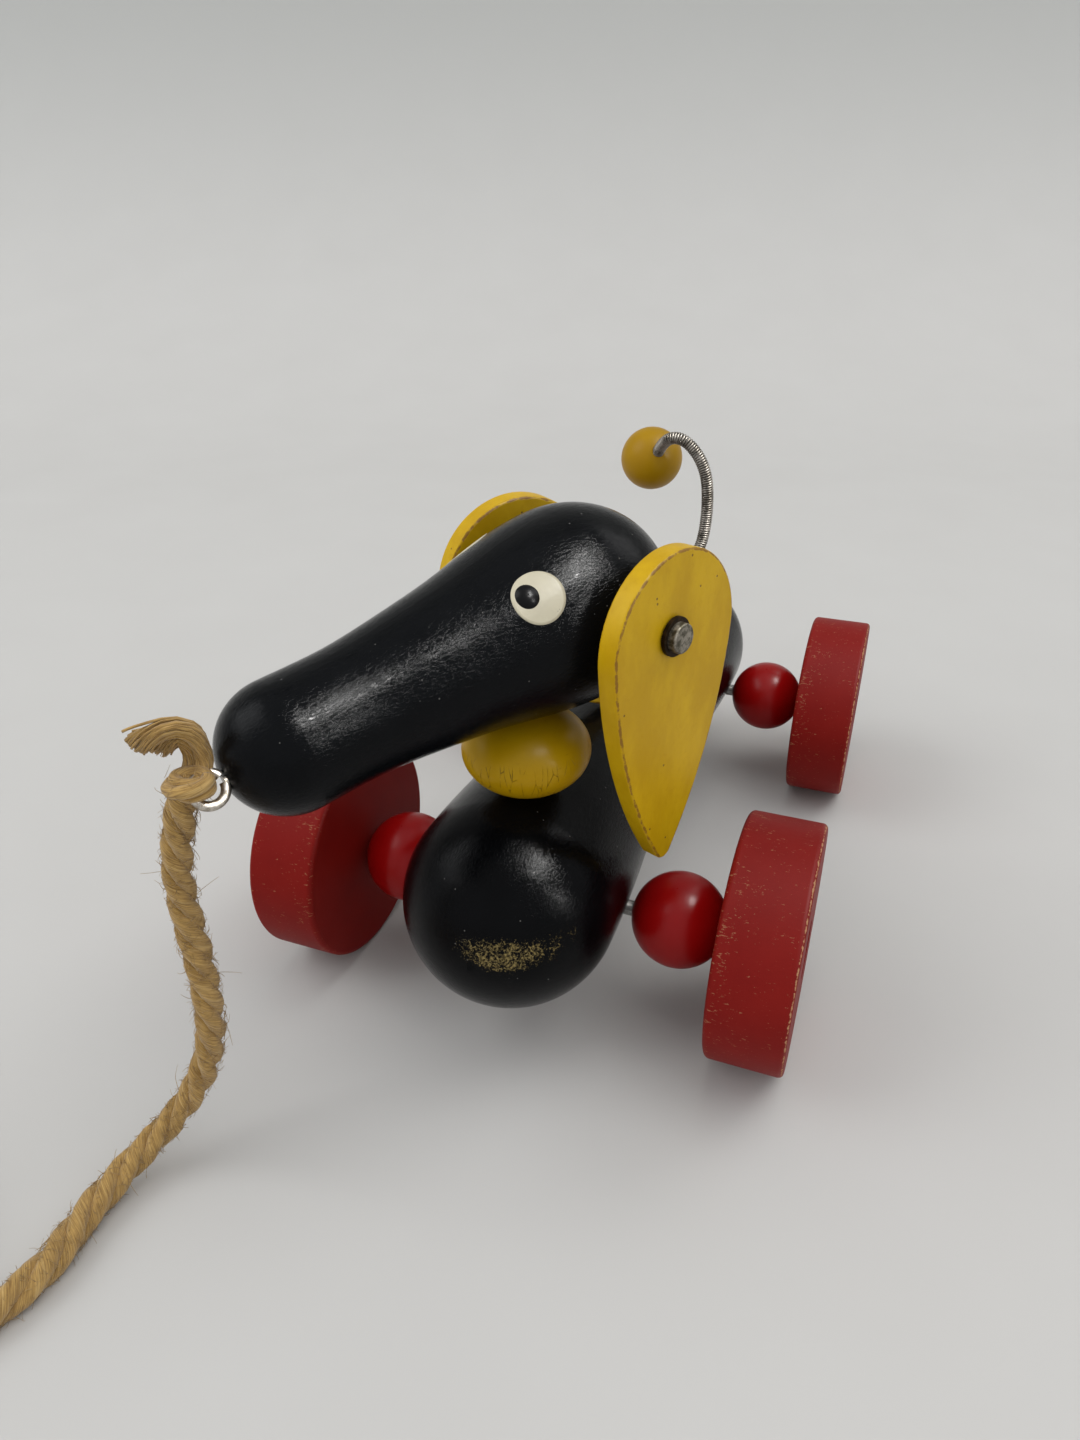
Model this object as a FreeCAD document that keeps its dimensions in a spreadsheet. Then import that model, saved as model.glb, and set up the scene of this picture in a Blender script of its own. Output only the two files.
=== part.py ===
"""Wooden dachshund pull-along toy on four wheels.

A turned body carries two steel axles with loose beads and wheels, a turned head
that swivels on a neck dowel, two ears hung on nails, a coil-spring tail with a
ball, and a screw eye in the nose with a jute pull cord.

Millimetres.  The nose points to -Y, the toy's left side is +X, the floor is Z = 0.
The origin is on the floor, under the middle of the toy's own box without its cord.
"""

import FreeCAD, Part
import math
import os
import Sketcher
from FreeCAD import Placement, Rotation, Vector

X_AXIS, Y_AXIS, Z_AXIS = Vector(1, 0, 0), Vector(0, 1, 0), Vector(0, 0, 1)

DRIVING_SIZES = {
    # running gear
    "wheel_radius": 25.0,
    "wheel_width": 15.3,
    "wheel_edge_round": 1.1,
    "wheel_offset": 48.7,
    "wheel_base": 109.0,
    "axle_middle": 8.2,
    "axle_radius": 1.6,
    "axle_length": 108.6,
    "axle_chamfer": 0.4,
    "running_clearance": 0.08,
    "bead_radius": 9.9,
    "bead_offset": 30.8,
    "cap_radius": 4.6,
    "cap_height": 2.9,
    "cap_wall": 0.9,
    "cap_gap": 0.35,
    "cap_pocket_radius": 6.0,
    "cap_pocket_depth": 3.4,
    # body
    "body_radius": 21.4,
    "body_waist": 18.2,
    "body_bulb_spacing": 131.0,
    "body_middle": 3.7,
    "body_height": 33.9,
    # neck
    "neck_place": -53.4,
    "neck_bead_radius": 12.4,
    "neck_bead_half": 8.5,
    "neck_bead_middle": 63.3,
    "dowel_radius": 4.0,
    "dowel_bottom": 41.0,
    "dowel_length": 44.0,
    "dowel_chamfer": 0.8,
    # head, in its own frame: nose to -Y, origin on its axis, just ahead of the neck
    "head_height": 88.1,
    "head_lead": 2.8,
    "head_turn": -30.3,
    "head_nod": 9.5,
    "skull_radius": 18.05,
    "skull_place": 12.3,
    "skull_length": 20.3,
    "dowel_bore_top": 0.6,
    "nose_radius": 11.1,
    "nose_place": 45.0,
    # ears
    "ear_radius": 16.4,
    "ear_side_start": 5.0,
    "ear_tip_radius": 2.2,
    "ear_tip_reach": 46.0,
    "ear_thickness": 4.1,
    "ear_edge_round": 0.5,
    "ear_hole_rise": 1.75,
    "ear_hole_lead": 1.6,
    "ear_offset": 18.9,
    "ear_toe": 7.0,
    "left_ear_swing": -10.4,
    "right_ear_swing": 27.5,
    "left_nail_place": 16.1,
    "left_nail_drop": 0.45,
    "right_nail_place": 14.0,
    "right_nail_drop": 1.1,
    "nail_shank_radius": 1.3,
    "nail_shank_length": 21.0,
    "nail_head_radius": 2.7,
    "nail_head_height": 1.5,
    "nail_head_round": 0.35,
    "washer_radius": 3.55,
    "washer_height": 0.7,
    "washer_gap": 0.3,
    # eyes
    "tack_radius": 2.2,
    "tack_height": 0.9,
    "tack_shank_radius": 0.7,
    "tack_shank_length": 6.0,
    "tack_place": 3.2,
    "left_tack_angle": 43.0,
    "right_tack_angle": 54.0,
    "tack_surface_radius": 15.75,
    # screw eye
    "eye_ring_radius": 2.5,
    "eye_wire_radius": 0.8,
    "eye_ring_sweep": 335.0,
    "eye_shank_radius": 0.85,
    "eye_shank_length": 13.0,
    "eye_ring_place": 58.8,
    "eye_ring_side": 1.5,
    "eye_ring_rise": 0.3,
    "eye_ring_tilt": 123.0,
    # tail
    "spring_radius": 1.85,
    "tail_joint_gap": 1.2,
    "tail_ball_radius": 9.6,
    "tail_socket_depth": 9.0,
    # pull cord
    "cord_radius": 2.7,
    "cord_end_radius": 2.0,
    "hitch_ring_radius": 2.1,
    "hitch_cord_radius": 1.9,
    "coil_outer_radius": 35.2,
    "coil_inner_radius": 24.2,
    "coil_height": 10.2,
    "coil_edge_round": 4.0,
    "hand_knot_radius": 7.0,
}

# lean of the tail socket from upright, towards the rear
TAIL_LEAN = 30.0
# slope of the head's surface under the eyes, falling towards the nose
TACK_SLOPE = 8.5
# muzzle of the head, as places along its own Y and their radii
MUZZLE_PROFILE = [(0.0, 16.6), (-10.0, 14.4), (-20.0, 12.8), (-31.0, 11.4)]
# height where the cutting tool of the head's dowel bore starts, below the head
HEAD_BORE_START = 67.0

# centreline of the tail spring, from the top of the body to the ball
TAIL_ROUTE = [
    Vector(0.0, 83.0, 50.3),
    Vector(0.3, 85.4, 54.7),
    Vector(2.8, 88.0, 60.1),
    Vector(3.6, 88.8, 67.5),
    Vector(3.5, 88.9, 75.0),
    Vector(2.6, 88.7, 82.0),
    Vector(-0.4, 88.3, 88.2),
    Vector(-5.6, 88.1, 92.7),
    Vector(-11.2, 89.6, 91.4),
    Vector(-13.9, 93.3, 86.5),
]
TAIL_SPLIT = 4  # the second tail joint is at this point of the route
TAIL_BALL_CENTRE = Vector(-17.6, 100.4, 82.8)

# centreline of the pull cord, from the hitch at the nose to the put-away coil
CORD_ROUTE = [
    Vector(-32.8, -108.0, 78.5),
    Vector(-37.8, -108.1, 65.2),
    Vector(-37.5, -107.7, 49.6),
    Vector(-36.5, -108.0, 35.4),
    Vector(-38.9, -107.7, 22.0),
    Vector(-43.6, -111.3, 10.9),
    Vector(-49.4, -120.1, 4.4),
    Vector(-50.7, -131.2, 2.8),
    Vector(-49.4, -141.8, 2.8),
    Vector(-53.6, -153.6, 2.8),
    Vector(-60.6, -166.0, 2.8),
    Vector(-65.9, -179.0, 2.8),
]
COIL_CENTRE = Vector(-96.2, -167.5, 0.0)
HAND_KNOT_TURN = math.radians(59)  # where the hand knot leans on the coil's inner wall

# centreline of the cord's short frayed end, above the hitch
CORD_END_ROUTE = [
    Vector(-30.6, -107.9, 80.3),
    Vector(-29.2, -108.0, 83.9),
    Vector(-30.4, -108.0, 87.7),
    Vector(-34.3, -108.1, 88.9),
    Vector(-37.8, -108.2, 86.9),
]
HITCH_CENTRE = Vector(-31.5, -108.1, 79.8)


class Size:
    """A number together with the sheet formula that gives it."""

    def __init__(self, value, formula):
        self.value = float(value)
        self.formula = formula

    def __add__(self, other):
        other = as_size(other)
        return Size(self.value + other.value, f"({self.formula} + {other.formula})")

    def __sub__(self, other):
        other = as_size(other)
        return Size(self.value - other.value, f"({self.formula} - {other.formula})")

    def __mul__(self, other):
        other = as_size(other)
        return Size(self.value * other.value, f"({self.formula} * {other.formula})")

    def __truediv__(self, other):
        other = as_size(other)
        return Size(self.value / other.value, f"({self.formula} / {other.formula})")

    def __neg__(self):
        return Size(-self.value, f"(0 - {self.formula})")


def as_size(number):
    """A Size as it is, or a plain number as one."""
    return number if isinstance(number, Size) else Size(number, repr(float(number)))


def make_sheet(document):
    """Write the driving sizes to the sheet and give them back as Size values."""
    sheet = document.addObject("Spreadsheet::Sheet", "Sizes")
    sizes = {}
    for row, (alias, number) in enumerate(DRIVING_SIZES.items(), start=1):
        sheet.set(f"A{row}", alias)
        sheet.set(f"B{row}", str(number))
        sheet.setAlias(f"B{row}", alias)
        sizes[alias] = Size(number, f"Sizes.{alias}")
    document.recompute()
    return sizes


doc = FreeCAD.newDocument("PullAlongDachshund")
S = make_sheet(doc)
sub_parts = []


# ---------------------------------------------------------------- helpers

def finish_part(feature, label, placement=None):
    """Name a finished sub-part, place it and list it for export."""
    feature.Label = label
    if placement is not None:
        feature.Placement = placement
    sub_parts.append(feature)
    return feature


def bind(feature, **sizes):
    """Bind properties of a feature to formulas of the sheet."""
    for name, size in sizes.items():
        feature.setExpression(name, as_size(size).formula)
    return feature


def new_body(name):
    return doc.addObject("PartDesign::Body", name + "_body")


def sketch_on(body, name, role, offset=None):
    """A sketch on one of the body's own origin planes."""
    plane = next(item for item in body.Origin.OriginFeatures if item.Role == role)
    sketch = body.newObject("Sketcher::SketchObject", name)
    sketch.AttachmentSupport = (plane, "")
    sketch.MapMode = "FlatFace"
    if offset is not None:
        sketch.AttachmentOffset = offset
    return sketch


def pin_point(sketch, geometry, end, across, up):
    """Hold one point of a sketch at a place taken from the sheet."""
    for kind, size in (("DistanceX", across), ("DistanceY", up)):
        size = as_size(size)
        if size.value == 0:
            axis = -2 if kind == "DistanceX" else -1
            sketch.addConstraint(Sketcher.Constraint("PointOnObject", geometry, end, axis))
            continue
        index = sketch.addConstraint(
            Sketcher.Constraint(kind, -1, 1, geometry, end, size.value))
        sketch.setExpression(f"Constraints[{index}]", size.formula)


def set_radius(sketch, geometry, radius):
    index = sketch.addConstraint(Sketcher.Constraint("Radius", geometry, radius.value))
    sketch.setExpression(f"Constraints[{index}]", radius.formula)


def flat(x, y):
    """A point of a sketch from two Sizes or numbers."""
    return Vector(as_size(x).value, as_size(y).value, 0)


def line(start, end):
    return Part.LineSegment(flat(*start), flat(*end)), None, None


def arc(centre, radius, first, last, pinned=True):
    """Arc turning left from one angle to another, in degrees."""
    circle = Part.Circle(flat(*centre), Z_AXIS, radius.value)
    curve = Part.ArcOfCircle(circle, math.radians(first), math.radians(last))
    return curve, centre if pinned else None, radius


def oval_arc(centre, half_width, half_height, first, last):
    """Arc of an ellipse that is wider than high, between two of its own angles."""
    oval = Part.Ellipse(flat(*centre), half_width.value, half_height.value)
    return Part.ArcOfEllipse(oval, math.radians(first), math.radians(last)), None, None


def smooth(points):
    """A smooth curve through points, level at both of its ends."""
    curve = Part.BSplineCurve()
    places = [flat(*point) for point in points]
    level = Vector(math.copysign(1, places[-1].x - places[0].x), 0, 0)
    curve.interpolate(Points=places, InitialTangent=level, FinalTangent=level)
    return curve, None, None


def draw_outline(sketch, pieces, join="Coincident"):
    """Closed outline from curves that follow each other end to end."""
    for curve, centre, radius in pieces:
        geometry = sketch.addGeometry(curve)
        if radius is not None:
            set_radius(sketch, geometry, radius)
        if centre is not None:
            pin_point(sketch, geometry, 3, *centre)
    for index in range(len(pieces)):
        following = (index + 1) % len(pieces)
        here, there = pieces[index][0], pieces[following][0]
        pairs = [(a.distanceToPoint(b), i, j)
                 for i, a in ((1, here.StartPoint), (2, here.EndPoint))
                 for j, b in ((1, there.StartPoint), (2, there.EndPoint))]
        gap, i, j = min(pairs)
        if gap > 1e-4:
            raise RuntimeError(f"{sketch.Name}: curve {index} ends {gap:.4f} mm short")
        sketch.addConstraint(Sketcher.Constraint(join, index, i, following, j))


def draw_polygon(sketch, corners):
    """Closed outline of straight lines through corners bound to the sheet."""
    count = len(corners)
    draw_outline(sketch, [line(corners[k], corners[(k + 1) % count]) for k in range(count)])
    for index, (across, up) in enumerate(corners):
        pin_point(sketch, index, 1, across, up)


def revolve(body, sketch, axis):
    """Turn a sketch a full circle about its own horizontal or vertical axis."""
    turned = body.newObject("PartDesign::Revolution", body.Name + "_turned")
    turned.Profile = sketch
    turned.ReferenceAxis = (sketch, [axis])
    turned.Angle = 360
    return turned


def draw_circle(sketch, radius, across=0.0, up=0.0):
    """A circle whose radius and centre are bound to the sheet."""
    geometry = sketch.addGeometry(Part.Circle(flat(across, up), Z_AXIS, radius.value))
    set_radius(sketch, geometry, radius)
    pin_point(sketch, geometry, 3, across, up)


def pad_circle(body, name, role, radius, length, across=0.0, up=0.0):
    """A disc or rod, half its length each side of the sketch plane."""
    sketch = sketch_on(body, name + "_outline", role)
    draw_circle(sketch, radius, across, up)
    pad = body.newObject("PartDesign::Pad", name)
    pad.Profile = sketch
    pad.Midplane = True
    bind(pad, Length=length)
    return pad


def cut_hole(body, name, role, radius, across=0.0, up=0.0):
    """A round hole right through, square to an origin plane."""
    sketch = sketch_on(body, name + "_outline", role)
    draw_circle(sketch, radius, across, up)
    hole = body.newObject("PartDesign::Pocket", name)
    hole.Profile = sketch
    hole.Midplane = True
    hole.Length = THROUGH_LENGTH
    return hole


def bore_from(body, name, bottom, radius, depth):
    """A round bore that starts at a placement and runs along its +Z."""
    sketch = sketch_on(body, name + "_outline", "XY_Plane", bottom)
    draw_circle(sketch, radius)
    hole = body.newObject("PartDesign::Pocket", name)
    hole.Profile = sketch
    hole.Reversed = True
    bind(hole, Length=depth)
    return hole


def round_edges(body, base, size, kind, chosen):
    """Fillet or chamfer the edges of a feature that a test chooses."""
    doc.recompute()
    edges = [f"Edge{k}" for k, edge in enumerate(base.Shape.Edges, start=1) if chosen(edge)]
    dressing = body.newObject("PartDesign::" + kind, base.Name + "_" + kind.lower())
    dressing.Base = (base, edges)
    bind(dressing, **{"Radius" if kind == "Fillet" else "Size": size})
    return dressing


def circle_of(radius):
    """A test for edges that are whole circles of a radius."""
    def chosen(edge):
        return isinstance(edge.Curve, Part.Circle) and abs(edge.Curve.Radius - radius) < 1e-6
    return chosen


def cylinder(name, radius, length, placement):
    rod = bind(doc.addObject("Part::Cylinder", name), Radius=radius, Height=length)
    rod.Placement = placement
    return rod


def bored_ball(label, radius, bore_radius, placement):
    """A wooden ball with a hole right through, along its own X axis."""
    body = new_body(label)
    sketch = sketch_on(body, label + "_profile", "XZ_Plane")
    rim_angle = math.degrees(math.asin(bore_radius.value / radius.value))
    rim = math.sqrt(radius.value ** 2 - bore_radius.value ** 2)
    draw_outline(sketch, [
        arc((0.0, 0.0), radius, rim_angle, 180 - rim_angle),
        line((-rim, bore_radius), (0.0, bore_radius)),
        line((0.0, bore_radius), (rim, bore_radius)),
    ])
    pin_point(sketch, 1, 2, 0.0, bore_radius)
    revolve(body, sketch, "H_Axis")
    return finish_part(body, label, placement)


THROUGH_LENGTH = 400.0  # cuts through anything here
BORE_OVERRUN = 1.0      # how far a cutting tool stands out of what it cuts


# ------------------------------------------------------- frames of the toy

axle_ys = {"front": S["axle_middle"] - S["wheel_base"] / 2,
           "rear": S["axle_middle"] + S["wheel_base"] / 2}
axle_z = S["wheel_radius"]
sides = {"left": 1, "right": -1}

neck_axis = Vector(0, S["neck_place"].value, 0)
head_turning = Rotation(Z_AXIS, S["head_turn"].value)
head_start = Vector(0, -S["head_lead"].value, S["head_height"].value)
head_frame = Placement(neck_axis + head_turning.multVec(head_start),
                       head_turning.multiply(Rotation(X_AXIS, S["head_nod"].value)))


def in_head(place, rotation=Rotation()):
    """A placement given in the head's own frame."""
    return head_frame.multiply(Placement(place, rotation))


# ---------------------------------------------------- tubes along a route

def route_wire(points):
    """Straight runs joined by tangent arcs, as large as the two runs allow.

    Gives the wire and the radius of each arc.
    """
    edges, radii = [], []
    start = points[0]
    for before, corner, after in zip(points, points[1:], points[2:]):
        inward, outward = corner - before, after - corner
        half_turn = inward.getAngle(outward) / 2
        cut = ARC_SHARE * min(inward.Length, outward.Length)
        radii.append(cut / math.tan(half_turn))
        inward.normalize()
        outward.normalize()
        arc_start, arc_end = corner - inward * cut, corner + outward * cut
        bisector = (outward - inward).normalize()
        centre_distance = radii[-1] / math.cos(half_turn)
        arc_middle = corner + bisector * (centre_distance - radii[-1])
        edges.append(Part.LineSegment(start, arc_start).toShape())
        edges.append(Part.Arc(arc_start, arc_middle, arc_end).toShape())
        start = arc_end
    edges.append(Part.LineSegment(start, points[-1]).toShape())
    return Part.Wire(edges), radii


def route_tube(label, points, radius):
    """A round tube along a route, as a plain solid of its own."""
    wire, radii = route_wire(points)
    direction = points[1] - points[0]
    section = Part.Wire([Part.Circle(points[0], direction, radius.value).toShape()])
    solid = wire.makePipeShell([section], True, False)
    expected = math.pi * radius.value ** 2 * wire.Length
    if radii:
        print(f"{label}: length {wire.Length:.1f}, tightest arc {min(radii):.1f},",
              f"volume {solid.Volume / expected:.4f} of section x length")
    tube = doc.addObject("Part::Feature", label + "_tube")
    tube.Shape = solid
    return finish_part(tube, label)


ARC_SHARE = 0.45  # of the shorter run, so that two arcs never meet on one run


# ------------------------------------------------------------ running gear

def make_axle(end):
    """A plain steel rod through the body, fixed there, that carries the wheels."""
    body = new_body(end + "_axle")
    rod = pad_circle(body, end + "_axle_rod", "YZ_Plane", S["axle_radius"], S["axle_length"])
    round_edges(body, rod, S["axle_chamfer"], "Chamfer", circle_of(S["axle_radius"].value))
    finish_part(body, end + "_axle", Placement(Vector(0, axle_ys[end].value, axle_z.value),
                                               Rotation()))


def make_wheel(end, side):
    """A thick turned wheel, loose on its axle, with a pocket in its outer face for the cap."""
    label = f"{end}_wheel_{side}"
    body = new_body(label)
    pad_circle(body, label + "_disc", "YZ_Plane", S["wheel_radius"], S["wheel_width"])
    out = sides[side]
    bottom = S["wheel_width"].value / 2 - S["cap_pocket_depth"].value
    bore_from(body, label + "_cap_pocket",
              Placement(Vector(out * bottom, 0, 0), Rotation(Y_AXIS, 90 * out)),
              S["cap_pocket_radius"], S["cap_pocket_depth"])
    hole = cut_hole(body, label + "_bore", "YZ_Plane", bore_radius)
    round_edges(body, hole, S["wheel_edge_round"], "Fillet", circle_of(S["wheel_radius"].value))
    place = Vector(out * S["wheel_offset"].value, axle_ys[end].value, axle_z.value)
    finish_part(body, label, Placement(place, Rotation()))


def make_cap(end, side):
    """A domed push-on cap that keeps the wheel on its axle."""
    label = f"{end}_axle_cap_{side}"
    body = new_body(label)
    sketch = sketch_on(body, label + "_profile", "XZ_Plane")
    radius, height, wall = S["cap_radius"], S["cap_height"], S["cap_wall"]
    rise = height - wall
    dome = (radius * radius + rise * rise) / (rise * 2)
    centre = (0.0, height - dome)
    edge_angle = math.degrees(math.atan2(wall.value - centre[1].value, radius.value))
    inside = S["axle_radius"]
    draw_outline(sketch, [
        line((radius, 0.0), (radius, wall)),
        arc(centre, dome, edge_angle, 90),
        line((0.0, height), (0.0, rise)),
        line((0.0, rise), (inside, rise)),
        line((inside, rise), (inside, 0.0)),
        line((inside, 0.0), (radius, 0.0)),
    ])
    revolve(body, sketch, "V_Axis")
    out = sides[side]
    face = S["wheel_offset"].value + S["wheel_width"].value / 2
    start = face - S["cap_pocket_depth"].value + S["cap_gap"].value
    place = Vector(out * start, axle_ys[end].value, axle_z.value)
    finish_part(body, label, Placement(place, Rotation(Y_AXIS, 90 * out)))


bore_radius = S["axle_radius"] + S["running_clearance"]
for end in axle_ys:
    make_axle(end)
    for side in sides:
        make_wheel(end, side)
        make_cap(end, side)
        bead_place = Vector(sides[side] * S["bead_offset"].value, axle_ys[end].value,
                            axle_z.value)
        bored_ball(f"{end}_bead_{side}", S["bead_radius"], bore_radius,
                   Placement(bead_place, Rotation()))


# -------------------------------------------------------------------- body

def make_body():
    """One long turning, round at both ends and a little slimmer in the middle."""
    body = new_body("body")
    sketch = sketch_on(body, "body_profile", "YZ_Plane")
    radius, reach = S["body_radius"], S["body_bulb_spacing"] / 2
    draw_outline(sketch, [
        line((-reach - radius, 0.0), (reach + radius, 0.0)),
        arc((reach, 0.0), radius, 0, 90),
        smooth([(reach, radius), (0.0, S["body_waist"]), (-reach, radius)]),
        arc((-reach, 0.0), radius, 90, 180),
    ])
    revolve(body, sketch, "H_Axis")
    for end, y in axle_ys.items():
        cut_hole(body, end + "_axle_hole", "YZ_Plane", S["axle_radius"],
                 y - S["body_middle"], axle_z - S["body_height"])
    here = Vector(0, S["body_middle"].value, S["body_height"].value)
    socket = Vector(0, S["neck_place"].value, S["dowel_bottom"].value) - here
    bore_from(body, "neck_socket", Placement(socket, Rotation()), S["dowel_radius"],
              S["dowel_length"])
    bore_from(body, "tail_socket", Placement(tail_socket_end - here, tail_rotation),
              S["spring_radius"], S["tail_socket_depth"] * 2)
    finish_part(body, "body", Placement(here, Rotation()))


def make_dowel():
    """The peg that holds the neck bead and carries the head."""
    body = new_body("neck_dowel")
    rod = pad_circle(body, "neck_dowel_rod", "XY_Plane", S["dowel_radius"], S["dowel_length"])
    round_edges(body, rod, S["dowel_chamfer"], "Chamfer", circle_of(S["dowel_radius"].value))
    middle = S["dowel_bottom"] + S["dowel_length"] / 2
    finish_part(body, "neck_dowel", Placement(neck_axis + Z_AXIS * middle.value, Rotation()))


def make_neck_bead():
    """A flattened bead between body and head, bored for the dowel."""
    body = new_body("neck_bead")
    sketch = sketch_on(body, "neck_bead_profile", "XZ_Plane")
    wide, high, inside = S["neck_bead_radius"], S["neck_bead_half"], S["dowel_radius"]
    angle = math.degrees(math.acos(inside.value / wide.value))
    edge = high.value * math.sin(math.radians(angle))
    draw_outline(sketch, [
        oval_arc((0.0, 0.0), wide, high, -angle, 0),
        oval_arc((0.0, 0.0), wide, high, 0, angle),
        line((inside, edge), (inside, -edge)),
    ])
    revolve(body, sketch, "V_Axis")
    finish_part(body, "neck_bead",
                Placement(neck_axis + Z_AXIS * S["neck_bead_middle"].value, Rotation()))


tail_rotation = Rotation(X_AXIS, -TAIL_LEAN)
tail_direction = tail_rotation.multVec(Z_AXIS)
tail_socket_end = TAIL_ROUTE[0] - tail_direction * S["tail_socket_depth"].value
make_body()
make_dowel()
make_neck_bead()


# -------------------------------------------------------------------- head

ear_faces = {}
for side, sign in sides.items():
    turn = Rotation(Z_AXIS, S["ear_toe"].value if sign > 0 else 180 - S["ear_toe"].value)
    place = Vector(sign * S["ear_offset"].value, S[side + "_nail_place"].value,
                   -S[side + "_nail_drop"].value)
    ear_faces[side] = Placement(place, turn)

tack_places = {}
for side, sign in sides.items():
    lean = Rotation(Y_AXIS, sign * S[side + "_tack_angle"].value)
    radius = lean.multVec(Z_AXIS) * S["tack_surface_radius"].value
    slope = Rotation(X_AXIS, TACK_SLOPE)
    tack_places[side] = Placement(Vector(0, -S["tack_place"].value, 0) + radius,
                                  lean.multiply(slope))

screw_eye_place = Placement(
    Vector(S["eye_ring_side"].value, -S["eye_ring_place"].value, S["eye_ring_rise"].value),
    Rotation(Y_AXIS, -S["eye_ring_tilt"].value))
outward = Rotation(Y_AXIS, 90)  # takes +Z to the +X of an ear's own frame


def make_head():
    """A turned head: a round skull, a slim muzzle and a blunt nose."""
    body = new_body("head")
    sketch = sketch_on(body, "head_profile", "YZ_Plane")
    skull, back = S["skull_radius"], S["skull_place"]
    nose, tip = S["nose_radius"], S["nose_place"]
    draw_outline(sketch, [
        line((-tip - nose, 0.0), (back + S["skull_length"], 0.0)),
        oval_arc((back, 0.0), S["skull_length"], skull, 0, 90),
        smooth([(back, skull), *MUZZLE_PROFILE, (-tip, nose)]),
        arc((-tip, 0.0), nose, 90, 180),
    ])
    revolve(body, sketch, "H_Axis")

    dowel_top = S["dowel_bottom"] + S["dowel_length"]
    below = Placement(neck_axis + Z_AXIS * HEAD_BORE_START, Rotation())
    bore_from(body, "dowel_bore", head_frame.inverse().multiply(below),
              S["dowel_radius"] + S["running_clearance"],
              dowel_top + S["dowel_bore_top"] - HEAD_BORE_START)
    reach = S["nail_shank_length"] - S["ear_thickness"] - S["washer_gap"] - S["washer_height"]
    for side in sides:
        face = ear_faces[side].multiply(Placement(Vector(), outward))
        bottom = face.multiply(Placement(Z_AXIS * -reach.value, Rotation()))
        bore_from(body, f"ear_nail_bore_{side}", bottom, S["nail_shank_radius"], reach)
        depth = S["tack_shank_length"]
        bottom = tack_places[side].multiply(Placement(Z_AXIS * -depth.value, Rotation()))
        bore_from(body, f"tack_bore_{side}", bottom, S["tack_shank_radius"], depth)
    shank_end = screw_eye_place.multiply(
        Placement(Y_AXIS * (S["eye_ring_radius"] + S["eye_shank_length"]).value,
                  Rotation(X_AXIS, 90)))
    bore_from(body, "screw_eye_bore", shank_end, S["eye_shank_radius"], S["eye_shank_length"])
    finish_part(body, "head", head_frame)


def make_ear(side):
    """A flat teardrop of wood that hangs from its nail, tip down."""
    label = "ear_" + side
    body = new_body(label)
    sketch = sketch_on(body, label + "_outline", "YZ_Plane")
    top, tip, reach, drop = (S["ear_radius"], S["ear_tip_radius"], S["ear_tip_reach"],
                             S["ear_hole_rise"])
    # the nail goes through the ear a little ahead of its middle
    middle = S["ear_hole_lead"] * sides[side]
    start = S["ear_side_start"].value
    lower, beside = math.sin(math.radians(start)), math.cos(math.radians(start))
    # each long side is an arc about a centre beyond the opposite edge of the ear
    offset = (reach * reach - top * top) / ((top - reach * lower) * 2)
    long = offset + top
    side_y, side_z = offset * beside, offset * lower - drop
    # the tip's own circle touches both long sides from inside
    tip_drop = math.sqrt((long - tip).value ** 2 - side_y.value ** 2)
    tip_angle = math.degrees(math.atan2(-tip_drop, side_y.value))
    draw_outline(sketch, [
        arc((middle, -drop), top, -start, 180 + start),
        arc((middle + side_y, side_z), long, 180 + start, 180 - tip_angle, pinned=False),
        arc((middle, side_z - tip_drop), tip, -180 - tip_angle, tip_angle),
        arc((middle - side_y, side_z), long, tip_angle, -start, pinned=False),
    ], join="Tangent")
    board = body.newObject("PartDesign::Pad", label + "_board")
    board.Profile = sketch
    bind(board, Length=S["ear_thickness"])
    hole = cut_hole(body, label + "_nail_hole", "YZ_Plane",
                    S["nail_shank_radius"] + S["running_clearance"])

    def rim(edge):
        box = edge.BoundBox
        return box.XLength < 1e-6 and not circle_of(hole_radius)(edge)

    hole_radius = (S["nail_shank_radius"] + S["running_clearance"]).value
    round_edges(body, hole, S["ear_edge_round"], "Fillet", rim)
    swing = Rotation(X_AXIS, sides[side] * S[side + "_ear_swing"].value)
    finish_part(body, label,
                head_frame.multiply(ear_faces[side]).multiply(Placement(Vector(), swing)))


def make_ear_nail(side):
    """A flat-headed nail that the ear turns on."""
    label = "ear_nail_" + side
    body = new_body(label)
    sketch = sketch_on(body, label + "_profile", "XZ_Plane")
    neck = S["ear_thickness"] + S["washer_gap"] + S["washer_height"]
    shank, head = S["nail_shank_radius"], S["nail_head_radius"]
    top = neck + S["nail_head_height"]
    bottom = neck - S["nail_shank_length"]
    draw_polygon(sketch, [(0.0, bottom), (shank, bottom + shank), (shank, neck), (head, neck),
                          (head, top), (0.0, top)])
    turned = revolve(body, sketch, "V_Axis")

    def head_rim(edge):
        return circle_of(head.value)(edge) and abs(edge.BoundBox.ZMin - top.value) < 1e-6

    round_edges(body, turned, S["nail_head_round"], "Fillet", head_rim)
    finish_part(body, label,
                head_frame.multiply(ear_faces[side]).multiply(Placement(Vector(), outward)))


def make_ear_washer(side):
    """A dark washer under the nail's head."""
    label = "ear_washer_" + side
    start = S["ear_thickness"] + S["washer_gap"]
    disc = cylinder(label + "_disc", S["washer_radius"], S["washer_height"], Placement())
    hole = cylinder(label + "_hole", S["nail_shank_radius"],
                    S["washer_height"] + BORE_OVERRUN * 2,
                    Placement(Z_AXIS * -BORE_OVERRUN, Rotation()))
    ring = doc.addObject("Part::Cut", label + "_ring")
    ring.Base, ring.Tool = disc, hole
    here = ear_faces[side].multiply(Placement(X_AXIS * start.value, outward))
    finish_part(ring, label, head_frame.multiply(here))


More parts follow.
